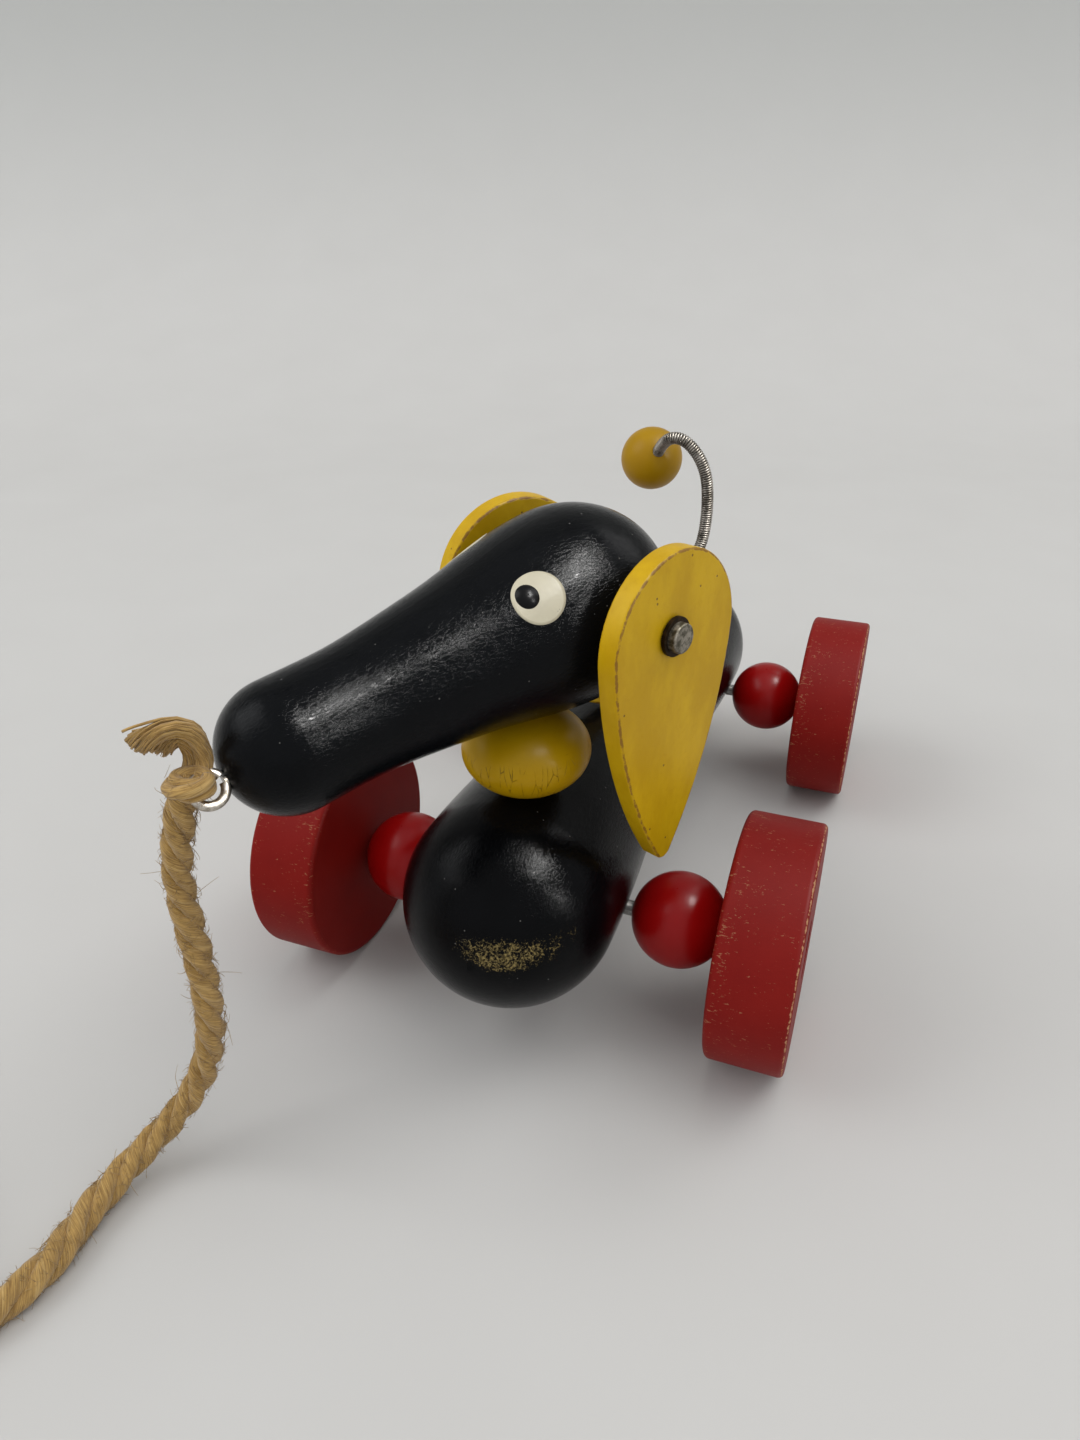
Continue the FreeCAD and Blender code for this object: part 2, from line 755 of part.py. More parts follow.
def make_eye_tack(side):
    """A black tack with a low domed head, for the pupil."""
    label = "eye_tack_" + side
    body = new_body(label)
    sketch = sketch_on(body, label + "_profile", "XZ_Plane")
    radius, height, shank = S["tack_radius"], S["tack_height"], S["tack_shank_radius"]
    bottom = -S["tack_shank_length"]
    dome = (radius * radius + height * height) / (height * 2)
    centre = (0.0, height - dome)
    edge_angle = math.degrees(math.atan2(-centre[1].value, radius.value))
    draw_outline(sketch, [
        arc(centre, dome, edge_angle, 90),
        line((0.0, height), (0.0, bottom)),
        line((0.0, bottom), (shank, bottom + shank)),
        line((shank, bottom + shank), (shank, 0.0)),
        line((shank, 0.0), (radius, 0.0)),
    ])
    revolve(body, sketch, "V_Axis")
    finish_part(body, label, head_frame.multiply(tack_places[side]))


def make_screw_eye():
    """A steel screw eye in the nose: a nearly closed ring on a plain shank."""
    ring = bind(doc.addObject("Part::Torus", "screw_eye_ring"),
                Radius1=S["eye_ring_radius"], Radius2=S["eye_wire_radius"],
                Angle3=S["eye_ring_sweep"])
    ring.Placement = Placement(Vector(), Rotation(Z_AXIS, 90))
    shank = cylinder("screw_eye_shank", S["eye_shank_radius"], S["eye_shank_length"],
                     Placement(Y_AXIS * S["eye_ring_radius"].value, Rotation(X_AXIS, -90)))
    whole = doc.addObject("Part::Fuse", "screw_eye_whole")
    whole.Base, whole.Tool = ring, shank
    finish_part(whole, "screw_eye", head_frame.multiply(screw_eye_place))


make_head()
make_screw_eye()
for side in sides:
    make_ear(side)
    make_ear_nail(side)
    make_ear_washer(side)
    make_eye_tack(side)


# -------------------------------------------------------------------- tail

def make_tail():
    """A close-coiled spring on a plain tube's outline, in three lengths, and its ball."""
    radius, gap = S["spring_radius"], S["tail_joint_gap"]
    rooted = cylinder("tail_spring_root_rod", radius, S["tail_socket_depth"],
                      Placement(tail_socket_end, tail_rotation))
    finish_part(rooted, "tail_spring_root")
    split = TAIL_ROUTE[TAIL_SPLIT]
    lower = TAIL_ROUTE[:TAIL_SPLIT + 1]
    upper = TAIL_ROUTE[TAIL_SPLIT:]
    down = (lower[-2] - split).normalize()
    up = (upper[1] - split).normalize()
    lower[0] += (lower[1] - lower[0]).normalize() * gap.value
    lower[-1] = split + down * (gap / 2).value
    upper[0] = split + up * (gap / 2).value
    route_tube("tail_spring_lower", lower, radius)
    route_tube("tail_spring_upper", upper, radius)

    ball = bind(doc.addObject("Part::Sphere", "tail_ball_whole"),
                Radius=S["tail_ball_radius"])
    ball.Placement = Placement(TAIL_BALL_CENTRE, Rotation())
    entry = (upper[-1] - upper[-2]).normalize()
    bore = cylinder("tail_ball_bore", radius, S["tail_ball_radius"] * 2,
                    Placement(upper[-1] - entry * (S["tail_ball_radius"] * 2).value,
                              along(entry)))
    bored = doc.addObject("Part::Cut", "tail_ball_bored")
    bored.Base, bored.Tool = ball, bore
    finish_part(bored, "tail_ball")


def along(direction):
    """Rotation that takes +Z to a direction."""
    return Rotation(Z_AXIS, direction)


make_tail()


# --------------------------------------------------------------- pull cord

def make_hitch():
    """The cord's one turn round itself at the screw eye."""
    ring = bind(doc.addObject("Part::Torus", "cord_hitch_turn"),
                Radius1=S["hitch_ring_radius"], Radius2=S["hitch_cord_radius"])
    direction = CORD_END_ROUTE[1] - CORD_END_ROUTE[0]
    finish_part(ring, "cord_hitch", Placement(HITCH_CENTRE, along(direction)))


def make_coil():
    """The outer shape of the put-away coil, lying on the floor."""
    body = new_body("cord_coil")
    sketch = sketch_on(body, "cord_coil_outline", "XY_Plane")
    draw_circle(sketch, S["coil_outer_radius"])
    draw_circle(sketch, S["coil_inner_radius"])
    ring = body.newObject("PartDesign::Pad", "cord_coil_ring")
    ring.Profile = sketch
    bind(ring, Length=S["coil_height"])
    top = S["coil_height"].value

    def upper_rim(edge):
        return abs(edge.BoundBox.ZMin - top) < 1e-6

    round_edges(body, ring, S["coil_edge_round"], "Fillet", upper_rim)
    finish_part(body, "cord_coil", Placement(COIL_CENTRE, Rotation()))

    rest = S["coil_inner_radius"].value - S["hand_knot_radius"].value
    knot_place = COIL_CENTRE + Vector(rest * math.cos(HAND_KNOT_TURN),
                                      rest * math.sin(HAND_KNOT_TURN),
                                      S["hand_knot_radius"].value)
    knot = bind(doc.addObject("Part::Sphere", "cord_hand_knot_ball"),
                Radius=S["hand_knot_radius"])
    finish_part(knot, "cord_hand_knot",
                Placement(knot_place, Rotation()))


route_tube("pull_cord", CORD_ROUTE, S["cord_radius"])
route_tube("cord_end", CORD_END_ROUTE, S["cord_end_radius"])
make_hitch()
make_coil()


# ------------------------------------------------------------------ export

def export_all():
    """Check every object and every sub-part, then write one STEP file for each."""
    doc.recompute()
    for item in doc.Objects:
        if "Invalid" in item.State or "Error" in item.State:
            raise RuntimeError(f"{item.Name} did not compute: {item.State}")
    os.makedirs("parts", exist_ok=True)
    for part in sub_parts:
        shape = part.Shape
        if shape.isNull() or not shape.isValid() or shape.Volume <= 0:
            raise RuntimeError(f"{part.Label} is not a valid solid")
        shape.exportStep(f"parts/{part.Label}.step")
    print(len(sub_parts), "sub-parts written")


export_all()
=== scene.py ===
"""Looks of a wooden dachshund pull-along toy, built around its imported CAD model.  Metres."""

import math
import random

import bmesh
import bpy
from mathutils import Euler, Matrix, Vector, noise
from mathutils.bvhtree import BVHTree


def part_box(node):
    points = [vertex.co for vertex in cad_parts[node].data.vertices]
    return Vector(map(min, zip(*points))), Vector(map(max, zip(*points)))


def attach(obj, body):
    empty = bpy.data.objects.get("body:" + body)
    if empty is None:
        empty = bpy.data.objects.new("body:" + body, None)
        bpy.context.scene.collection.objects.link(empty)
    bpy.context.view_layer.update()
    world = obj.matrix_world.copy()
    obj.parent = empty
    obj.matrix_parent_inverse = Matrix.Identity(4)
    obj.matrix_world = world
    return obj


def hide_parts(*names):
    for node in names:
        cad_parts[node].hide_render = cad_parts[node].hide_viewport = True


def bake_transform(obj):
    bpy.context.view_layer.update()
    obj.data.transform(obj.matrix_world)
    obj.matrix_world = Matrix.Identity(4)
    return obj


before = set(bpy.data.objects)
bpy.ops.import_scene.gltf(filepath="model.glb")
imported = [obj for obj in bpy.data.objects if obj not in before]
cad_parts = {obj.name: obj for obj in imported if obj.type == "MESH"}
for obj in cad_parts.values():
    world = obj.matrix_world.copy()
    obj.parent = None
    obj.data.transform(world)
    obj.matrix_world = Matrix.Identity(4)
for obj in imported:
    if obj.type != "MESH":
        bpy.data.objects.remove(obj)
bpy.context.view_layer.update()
MM = 0.001
X_AXIS = Vector((1, 0, 0))
SIDES = {"left": 1, "right": -1}
SEED = 7

# Frames of the turned pieces, as the CAD has them.
BODY_CENTRE = Vector((0, 3.7, 33.9)) * MM
NECK = Vector((0, -53.4, 63.3)) * MM
HEAD_FRAME = (Matrix.Translation((0, NECK.y, 0))
              @ Matrix.Rotation(math.radians(-30.3), 4, "Z")
              @ Matrix.Translation((0, -2.8 * MM, 88.1 * MM))
              @ Matrix.Rotation(math.radians(9.5), 4, "X"))
EAR_SWINGS = {"left": -10.4, "right": 27.5}
EAR_OFFSET = 18.9 * MM
EAR_NAILS = {"left": (16.1 * MM, -0.45 * MM), "right": (14.0 * MM, -1.1 * MM)}
EAR_TOE = math.radians(7)


def ear_face(side):
    """Frame of an ear's nail: its X along the nail, its origin on the ear's inner face."""
    sign = SIDES[side]
    turn = EAR_TOE if sign > 0 else math.pi - EAR_TOE
    return (HEAD_FRAME @ Matrix.Translation((sign * EAR_OFFSET, *EAR_NAILS[side]))
            @ Matrix.Rotation(turn, 4, "Z"))


def new_object(name, data):
    piece = bpy.data.objects.new(name, data)
    bpy.context.scene.collection.objects.link(piece)
    return piece


def mesh_object(name, points, faces):
    mesh = bpy.data.meshes.new(name)
    mesh.from_pydata([tuple(point) for point in points], [], faces)
    mesh.polygons.foreach_set("use_smooth", [True] * len(mesh.polygons))
    mesh.update()
    return new_object(name, mesh)


# ---------------------------------------------------------- camera and stage

CAMERA_PLACE = Vector((59.67, -203.71, 155.95)) * MM
CAMERA_YAW, CAMERA_PITCH = math.radians(20.73), math.radians(28.22)
SENSOR_HEIGHT = 36.0
LENS = 24.41
FLOOR_HALF_WIDTH = 7.0
FLOOR_FRONT, SWEEP_START = -7.0, 0.42
SWEEP_RADIUS, SWEEP_HEIGHT = 0.55, 2.4
SWEEP_STEPS = 24


def add_camera():
    """The photo's camera."""
    data = bpy.data.cameras.new("camera")
    data.sensor_fit = "VERTICAL"
    data.sensor_height = SENSOR_HEIGHT
    data.lens = LENS
    data.clip_start = 0.01
    camera = new_object("camera", data)
    camera.location = CAMERA_PLACE
    camera.rotation_euler = Euler((math.pi / 2 - CAMERA_PITCH, 0, CAMERA_YAW))
    bpy.context.scene.camera = camera


def add_stage():
    """A pale floor that sweeps up into a plain backdrop, square to the camera."""
    profile = [(FLOOR_FRONT, 0.0), (SWEEP_START, 0.0)]
    for step in range(1, SWEEP_STEPS + 1):
        angle = math.pi / 2 * step / SWEEP_STEPS
        profile.append((SWEEP_START + SWEEP_RADIUS * math.sin(angle),
                        SWEEP_RADIUS * (1 - math.cos(angle))))
    profile.append((SWEEP_START + SWEEP_RADIUS, SWEEP_HEIGHT))
    turn = Matrix.Rotation(CAMERA_YAW, 3, "Z")
    points = [turn @ Vector((side * FLOOR_HALF_WIDTH, y, z))
              for y, z in profile for side in (-1, 1)]
    faces = [(2 * k, 2 * k + 1, 2 * k + 3, 2 * k + 2) for k in range(len(profile) - 1)]
    floor = mesh_object("stage_floor", points, faces)
    floor.data.materials.append(paper())


# name: direction from the toy, distance, size along and across, power, colour
LIGHTS = {
    "overhead": ((0.40, 0.05, 0.90), 1.5, 0.46, 0.06, 14.0, (1.0, 0.99, 0.97)),
    "side": ((0.56, -0.12, 0.82), 1.5, 0.56, 0.10, 24.0, (1.0, 0.99, 0.97)),
    "low": ((0.90, -0.22, 0.38), 1.5, 0.06, 0.32, 7.0, (1.0, 0.99, 0.97)),
    "ceiling": ((0.25, -0.05, 1.0), 1.9, 1.3, 1.3, 8.5, (1.0, 1.0, 0.985)),
    "window": ((-0.75, -0.35, 0.75), 1.8, 1.2, 1.2, 11.5, (0.97, 0.99, 1.0)),
    "back": ((0.45, 0.85, 0.8), 1.9, 1.6, 1.0, 11.5, (1.0, 1.0, 1.0)),
}
# narrow lamps that only draw the bright streaks in the lacquer
GLOSS_LIGHTS = ("overhead", "side", "low")
# lamps that leave no highlight of their own
MATT_LIGHTS = ("ceiling",)
LIGHT_TARGET = Vector((0, -0.03, 0.05))
WORLD_COLOUR = (0.96, 0.97, 1.0, 1.0)
WORLD_STRENGTH = 0.78


def add_lights():
    """Soft lamps and a pale world."""
    for name, (direction, distance, along, across, power, colour) in LIGHTS.items():
        data = bpy.data.lights.new(name, "AREA")
        data.shape = "RECTANGLE"
        data.size, data.size_y = along, across
        data.energy = power
        data.color = colour
        lamp = new_object(name, data)
        lamp.visible_diffuse = name not in GLOSS_LIGHTS
        lamp.visible_glossy = name not in MATT_LIGHTS
        way = Vector(direction).normalized()
        lamp.location = LIGHT_TARGET + way * distance
        lamp.rotation_euler = way.to_track_quat("Z", "Y").to_euler()
    world = bpy.data.worlds.new("studio")
    world.use_nodes = True
    background = world.node_tree.nodes["Background"]
    background.inputs["Color"].default_value = WORLD_COLOUR
    background.inputs["Strength"].default_value = WORLD_STRENGTH
    bpy.context.scene.world = world
    bpy.context.scene.view_settings.view_transform = "Standard"


# ------------------------------------------------------------------ materials

class Shader:
    """A node material being built: each method adds a node and gives its output."""

    def __init__(self, name):
        self.material = bpy.data.materials.new(name)
        self.material.use_nodes = True
        self.tree = self.material.node_tree
        self.surface = self.tree.nodes["Principled BSDF"]

    def add(self, kind, output, inputs=None, **settings):
        node = self.tree.nodes.new("ShaderNode" + kind)
        for key, value in settings.items():
            setattr(node, key, value)
        for key, value in (inputs or {}).items():
            if isinstance(value, bpy.types.NodeSocket):
                self.tree.links.new(value, node.inputs[key])
            else:
                node.inputs[key].default_value = value
        return node.outputs[output]

    def local(self, matrix=None):
        """Coordinates in millimetres in a frame of the toy."""
        inverse = (matrix or Matrix()).inverted()
        place = self.add("TexCoord", "Object")
        return self.add("Mapping", "Vector", {
            "Vector": place, "Scale": (1000, 1000, 1000),
            "Rotation": tuple(inverse.to_euler()),
            "Location": tuple(inverse.translation * 1000)})

    def stretched(self, vector, scale):
        return self.add("Mapping", "Vector", {"Vector": vector, "Scale": scale})

    def noise(self, vector, scale, detail=3.0, roughness=0.5, distortion=0.0):
        return self.add("TexNoise", "Fac", {
            "Vector": vector, "Scale": scale, "Detail": detail,
            "Roughness": roughness, "Distortion": distortion})

    def cells(self, vector, scale, feature="F1"):
        return self.add("TexVoronoi", "Distance", {"Vector": vector, "Scale": scale},
                        feature=feature)

    def math(self, operation, a, b=0.0, c=0.0):
        return self.add("Math", 0, {0: a, 1: b, 2: c}, operation=operation)

    def product(self, a, b):
        return self.math("MULTIPLY", a, b)

    def radius(self, a, b):
        """Distance from the origin of a plane."""
        return self.math("SQRT", self.math("ADD", self.product(a, a), self.product(b, b)))

    def step(self, value, low, high):
        """A smooth rise from 0 at low to 1 at high; low may be the larger."""
        if low > high:
            return self.math("SUBTRACT", 1.0, self.step(value, high, low))
        return self.add("MapRange", 0, {"Value": value, "From Min": low, "From Max": high},
                        interpolation_type="SMOOTHSTEP")

    def blend(self, factor, a, b):
        """Colour a where the factor is 0 and colour b where it is 1."""
        node = self.tree.nodes.new("ShaderNodeMix")
        node.data_type = "RGBA"
        # sockets of a colour mix: the factor and the two colours
        for slot, value in ((0, factor), (6, a), (7, b)):
            if isinstance(value, bpy.types.NodeSocket):
                self.tree.links.new(value, node.inputs[slot])
            else:
                node.inputs[slot].default_value = (*value, 1.0) if slot else value
        return node.outputs[2]

    def split(self, vector):
        node = self.tree.nodes.new("ShaderNodeSeparateXYZ")
        self.tree.links.new(vector, node.inputs[0])
        return node.outputs[0], node.outputs[1], node.outputs[2]

    def join(self, x, y, z):
        return self.add("CombineXYZ", 0, {0: x, 1: y, 2: z})

    def bump(self, height, distance, strength, under=None):
        """Relief of a height from 0 to 1; the distance is in millimetres."""
        inputs = {"Height": height, "Distance": distance * MM, "Strength": strength}
        if under is not None:
            inputs["Normal"] = under
        return self.add("Bump", "Normal", inputs)

    def finish(self, **sockets):
        for name, value in sockets.items():
            socket = self.surface.inputs[name.replace("_", " ").title().replace("Ior", "IOR")]
            if isinstance(value, bpy.types.NodeSocket):
                self.tree.links.new(value, socket)
            elif isinstance(value, tuple):
                socket.default_value = (*value, 1.0)
            else:
                socket.default_value = value
        return self.material


PAPER_TONES = (0.524, 0.514, 0.494), (0.551, 0.542, 0.522)
# the colour the backdrop reaches at that height in millimetres: painted shade, darker high up
PAPER_HIGH_SHADED, PAPER_RISE = (0.385, 0.388, 0.372), 420.0


def paper():
    """Matt pale paper of the floor and backdrop, with painted shade that darkens the backdrop as
    it rises.
    """
    shader = Shader("stage_paper")
    place = shader.local()
    grain = shader.noise(place, 0.02, 2.0)
    colour = shader.blend(grain, *PAPER_TONES)
    _, _, height = shader.split(place)
    # painted shade: the backdrop darkens towards the top
    colour = shader.blend(shader.step(height, 0.0, PAPER_RISE), colour, PAPER_HIGH_SHADED)
    return shader.finish(base_color=colour, roughness=0.75, specular_ior_level=0.25)


HEAD_BLACK, BODY_BLACK = (0.0018, 0.0021, 0.0026), (0.0011, 0.0012, 0.0015)
LACQUER_ROUGHNESS = 0.05
TURNED_GRAIN = (1.0, 0.30, 1.0)  # drawn out along the turned piece
GROOVE_DEPTH, RIPPLE_DEPTH = 0.020, 0.10  # in millimetres
DUST = (0.30, 0.29, 0.27)
DUST_SCALE, DUST_RIM = 0.33, (0.055, 0.035)


def lacquer(name, matrix, colour):
    """Glossy black lacquer over turned wood: fine grain in the gloss, faint dust."""
    shader = Shader(name)
    place = shader.local(matrix)
    along = shader.stretched(place, TURNED_GRAIN)
    grain = shader.noise(along, 2.6, 4.0, 0.62, 0.6)
    patches = shader.noise(place, 0.16, 3.0)
    base = shader.blend(patches, colour, tuple(c * 1.7 + 0.001 for c in colour))
    specks = shader.step(shader.cells(place, DUST_SCALE), *DUST_RIM)
    base = shader.blend(shader.product(specks, 0.35), base, DUST)
    # hair-thin grooves scatter the gloss and leave the bright spots broken
    worn, scattered = shader.step(patches, 0.42, 0.64), shader.step(grain, 0.40, 0.60)
    roughness = shader.math("MULTIPLY_ADD", worn, 0.05, LACQUER_ROUGHNESS)
    roughness = shader.math("MULTIPLY_ADD", scattered, 0.07, roughness)
    grooves = shader.bump(shader.step(grain, 0.34, 0.70), GROOVE_DEPTH, 1.0)
    normal = shader.bump(shader.noise(along, 0.22, 2.0), RIPPLE_DEPTH, 0.4, grooves)
    return shader, place, base, roughness, normal


def head_lacquer():
    shader, _, base, roughness, normal = lacquer("head_lacquer", HEAD_FRAME, HEAD_BLACK)
    return shader.finish(base_color=base, roughness=roughness, normal=normal,
                         specular_ior_level=0.075)


SCUFF_CENTRE = Vector((6.8, -81.6, 36.8)) * MM
SCUFF_HALF = (11.0, 3.9)  # along the body's girth and up, in millimetres
SCUFF_BOW = 0.55  # rise of its ends, as a share of its half height
SCUFF_FRONT = (-70.0, -76.0)  # it fades in between these places, forward of the middle
SCUFF_WOOD = (0.050, 0.036, 0.013), (0.36, 0.27, 0.10)


def body_lacquer():
    """The body's lacquer, scuffed down to the wood low on the chest."""
    shader, place, base, roughness, normal = lacquer(
        "body_lacquer", Matrix.Translation(BODY_CENTRE), BODY_BLACK)
    centre = (SCUFF_CENTRE - BODY_CENTRE) / MM
    x, y, z = shader.split(place)
    along = shader.math("DIVIDE", shader.math("SUBTRACT", x, centre.x), SCUFF_HALF[0])
    up = shader.math("DIVIDE", shader.math("SUBTRACT", z, centre.z), SCUFF_HALF[1])
    # the patch dips in its middle and rises at its ends
    up = shader.math("SUBTRACT", up, shader.product(shader.product(along, along), SCUFF_BOW))
    reach = shader.math("ADD", shader.product(along, along), shader.product(up, up))
    near = shader.product(shader.step(reach, 1.7, 0.1), shader.step(y, *SCUFF_FRONT))
    threads = shader.noise(place, 0.80, 6.0, 0.78, 2.2)
    clumps = shader.noise(place, 0.20, 2.0)
    threads = shader.math("MULTIPLY_ADD", clumps, 0.22, threads)
    scratched = shader.step(shader.math("MULTIPLY_ADD", near, 0.26, threads), 0.865, 0.905)
    scratched = shader.product(scratched, shader.step(near, 0.02, 0.25))
    wood = shader.blend(shader.step(shader.noise(place, 2.4, 3.0), 0.3, 0.7), *SCUFF_WOOD)
    base = shader.blend(shader.product(scratched, 0.85), base, wood)
    roughness = shader.math("MULTIPLY_ADD", scratched, 0.4, roughness)
    normal = shader.bump(scratched, -0.05, 0.8, normal)
    return shader.finish(base_color=base, roughness=roughness, normal=normal,
                         specular_ior_level=0.065)


WHEEL_RADIUS = 25.0 * MM
WHEEL_REDS = (0.180, 0.0052, 0.0036), (0.250, 0.0108, 0.0070)
WHEEL_DARK = (0.125, 0.003, 0.003)
WOOD_UNDER_RED, PALE_WOOD = (0.42, 0.20, 0.10), (0.58, 0.34, 0.17)
TREAD_FROM = (24.0, 24.4)  # radius at which the tread starts, in millimetres
RIM_SIDE, RIM_RADIUS = (6.8, 7.45), (24.0, 24.7)  # where the tread turns into the face


def wheel_paint(name, centre, out):
    """Satin red paint on a turned wheel: flecked tread, rims worn to the wood."""
    shader = Shader(name)
    place = shader.local(Matrix.Translation(centre))
    x, y, z = shader.split(place)
    radius = shader.radius(y, z)
    arc = shader.product(shader.math("ARCTAN2", z, y), WHEEL_RADIUS / MM)
    side = shader.product(x, out)
    tread = shader.join(x, arc, radius)
    cloud = shader.noise(place, 0.12, 3.0)
    edge_noise = shader.noise(place, 1.1, 4.0, 0.6)
    # flecks: short strokes round the tread, thickest beside its rims
    fleck = shader.noise(shader.stretched(tread, (0.42, 1.0, 0.3)), 2.6, 4.0, 0.64)
    fade = shader.product(shader.noise(place, 0.2, 2.0), 0.24)
    favoured = shader.math("MULTIPLY_ADD", shader.step(side, 0.0, -7.2), 0.050, fade)
    flecks = shader.step(shader.math("ADD", fleck, favoured), 0.765, 0.83)
    flecks = shader.product(flecks, shader.step(radius, *TREAD_FROM))
    # rims: bare line where the tread turns into the face
    rim = shader.product(shader.step(side, *RIM_SIDE), shader.step(radius, *RIM_RADIUS))
    rim_worn = shader.step(shader.math("MULTIPLY_ADD", rim, 0.5, edge_noise), 0.88, 0.98)
    worn = shader.math("MAXIMUM", shader.product(flecks, 0.42), shader.product(rim_worn, 0.8))
    red = shader.blend(cloud, *WHEEL_REDS)
    turning = shader.noise(shader.join(radius, 0.0, 0.0), 1.3, 3.0)
    red = shader.blend(shader.product(turning, 0.35), red, WHEEL_DARK)
    wood = shader.blend(edge_noise, WOOD_UNDER_RED, PALE_WOOD)
    base = shader.blend(worn, red, wood)
    roughness = shader.math("MULTIPLY_ADD", worn, 0.25, 0.50)
    grain = shader.noise(shader.stretched(place, (0.25, 1, 1)), 1.6, 4.0, 0.6)
    normal = shader.bump(grain, 0.05, 0.5)
    normal = shader.bump(worn, -0.05, 0.8, normal)
    return shader.finish(base_color=base, roughness=roughness, normal=normal,
                         specular_ior_level=0.09)


BEAD_REDS = (0.250, 0.0012, 0.0014), (0.350, 0.0030, 0.0030)
BEAD_HOLE = (8.9, 9.7)  # distance from the bead's middle at which its ends wear


def bead_paint(name, centre):
    """Glossy red lacquer on a turned bead, with a darker run and small chips."""
    shader = Shader(name)
    place = shader.local(Matrix.Translation(centre))
    cloud = shader.noise(place, 0.13, 3.0)
    red = shader.blend(cloud, *BEAD_REDS)
    x, _, _ = shader.split(place)
    hole = shader.step(shader.math("ABSOLUTE", x), *BEAD_HOLE)
    chips = shader.step(shader.noise(place, 1.2, 4.0, 0.6), 0.75, 0.79)
    worn = shader.product(shader.math("MAXIMUM", hole, 0.12), chips)
    base = shader.blend(worn, red, WOOD_UNDER_RED)
    lines = shader.noise(shader.stretched(place, (1.0, 0.12, 0.12)), 1.3, 3.0)
    normal = shader.bump(shader.noise(place, 0.7, 4.0), 0.035, 0.5)
    normal = shader.bump(lines, 0.03, 0.5, normal)
    roughness = shader.math("MULTIPLY_ADD", cloud, 0.12, 0.24)
    return shader.finish(base_color=base, roughness=roughness, normal=normal,
                         specular_ior_level=0.20)


EAR_TOP, EAR_REACH, EAR_HOLE_RISE, EAR_HOLE_LEAD = 16.4, 46.0, 1.75, 1.6
EAR_SIDE_START = math.radians(5.0)
EAR_THICKNESS = 4.1
EAR_YELLOWS = (0.500, 0.292, 0.0020), (0.610, 0.375, 0.0052)
EAR_MOTTLE, EAR_STAIN = (0.46, 0.250, 0.004), (0.095, 0.042, 0.010)
EAR_WORN = (0.190, 0.075, 0.018)
EAR_RIM = (0.95, 0.30)  # millimetres inside the outline where the wear fades in


def ear_paint(side):
    """Satin yellow paint on a flat ear, worn brown along the edges of its faces."""
    swing = SIDES[side] * math.radians(EAR_SWINGS[side])
    shader = Shader("ear_paint_" + side)
    place = shader.local(ear_face(side) @ Matrix.Rotation(swing, 4, "X"))
    x, y, z = shader.split(place)
    y = shader.math("SUBTRACT", y, SIDES[side] * EAR_HOLE_LEAD)
    # distance inside the outline: the top circle above, two long arcs below
    lean = math.sin(EAR_SIDE_START)
    offset = (EAR_REACH ** 2 - EAR_TOP ** 2) / (2 * (EAR_TOP - EAR_REACH * lean))
    far, side_z = offset * math.cos(EAR_SIDE_START), offset * lean - EAR_HOLE_RISE
    flank = shader.math("SUBTRACT", z, side_z)
    across = shader.math("ADD", shader.math("ABSOLUTE", y), far)
    long_arc = shader.math("SUBTRACT", offset + EAR_TOP, shader.radius(across, flank))
    rise = shader.math("ADD", z, EAR_HOLE_RISE)
    top_arc = shader.math("SUBTRACT", EAR_TOP, shader.radius(y, rise))
    upper = shader.step(rise, 1.0, 3.0)
    inside = shader.math("ADD", shader.product(top_arc, upper),
                         shader.product(long_arc, shader.math("SUBTRACT", 1.0, upper)))
    face = shader.math("ABSOLUTE", shader.math("SUBTRACT", x, EAR_THICKNESS / 2))
    face = shader.product(face, 2.0 / EAR_THICKNESS)
    edge_noise = shader.noise(place, 0.55, 5.0, 0.65)
    rim = shader.product(shader.step(inside, *EAR_RIM), shader.step(face, 0.72, 0.95))
    worn = shader.step(shader.math("MULTIPLY_ADD", rim, 0.46, edge_noise), 0.82, 0.98)
    cloud = shader.noise(shader.stretched(place, (1.0, 1.0, 0.45)), 0.11, 5.0, 0.6)
    mottle = shader.noise(place, 0.9, 5.0, 0.7)
    yellow = shader.blend(shader.step(cloud, 0.35, 0.7), *EAR_YELLOWS)
    blotches = shader.product(shader.step(mottle, 0.52, 0.75), 0.35)
    yellow = shader.blend(blotches, yellow, EAR_MOTTLE)
    pits = shader.step(shader.cells(place, 0.26), 0.075, 0.045)
    stains = shader.step(shader.noise(place, 0.35, 6.0, 0.75), 0.70, 0.76)
    dark = shader.math("MAXIMUM", shader.product(pits, 0.8), shader.product(stains, 0.35))
    base = shader.blend(dark, yellow, EAR_STAIN)
    base = shader.blend(shader.product(worn, 0.75), base, EAR_WORN)
    roughness = shader.math("MULTIPLY_ADD", mottle, 0.22, 0.30)
    normal = shader.bump(shader.noise(shader.stretched(place, (1, 1, 0.2)), 1.5, 4.0), 0.03, 0.5)
    normal = shader.bump(shader.math("MAXIMUM", worn, pits), -0.07, 0.8, normal)
    return shader.finish(base_color=base, roughness=roughness, normal=normal,
                         specular_ior_level=0.17)


NECK_YELLOWS = (0.410, 0.228, 0.0012), (0.505, 0.304, 0.0022)
NECK_BROWN, NECK_CRACK = (0.17, 0.090, 0.006), (0.045, 0.022, 0.004)
NECK_ARC = 12.0  # millimetres per radian, close to the bead's radius
CRACK_SPREAD, CRACK_RIM = (0.52, 0.12, 1.0), (0.042, 0.022)
CRACK_TOP, CRACK_FOOT = (3.0, 1.0), (-6.6, -4.4)  # heights between which the cracks lie


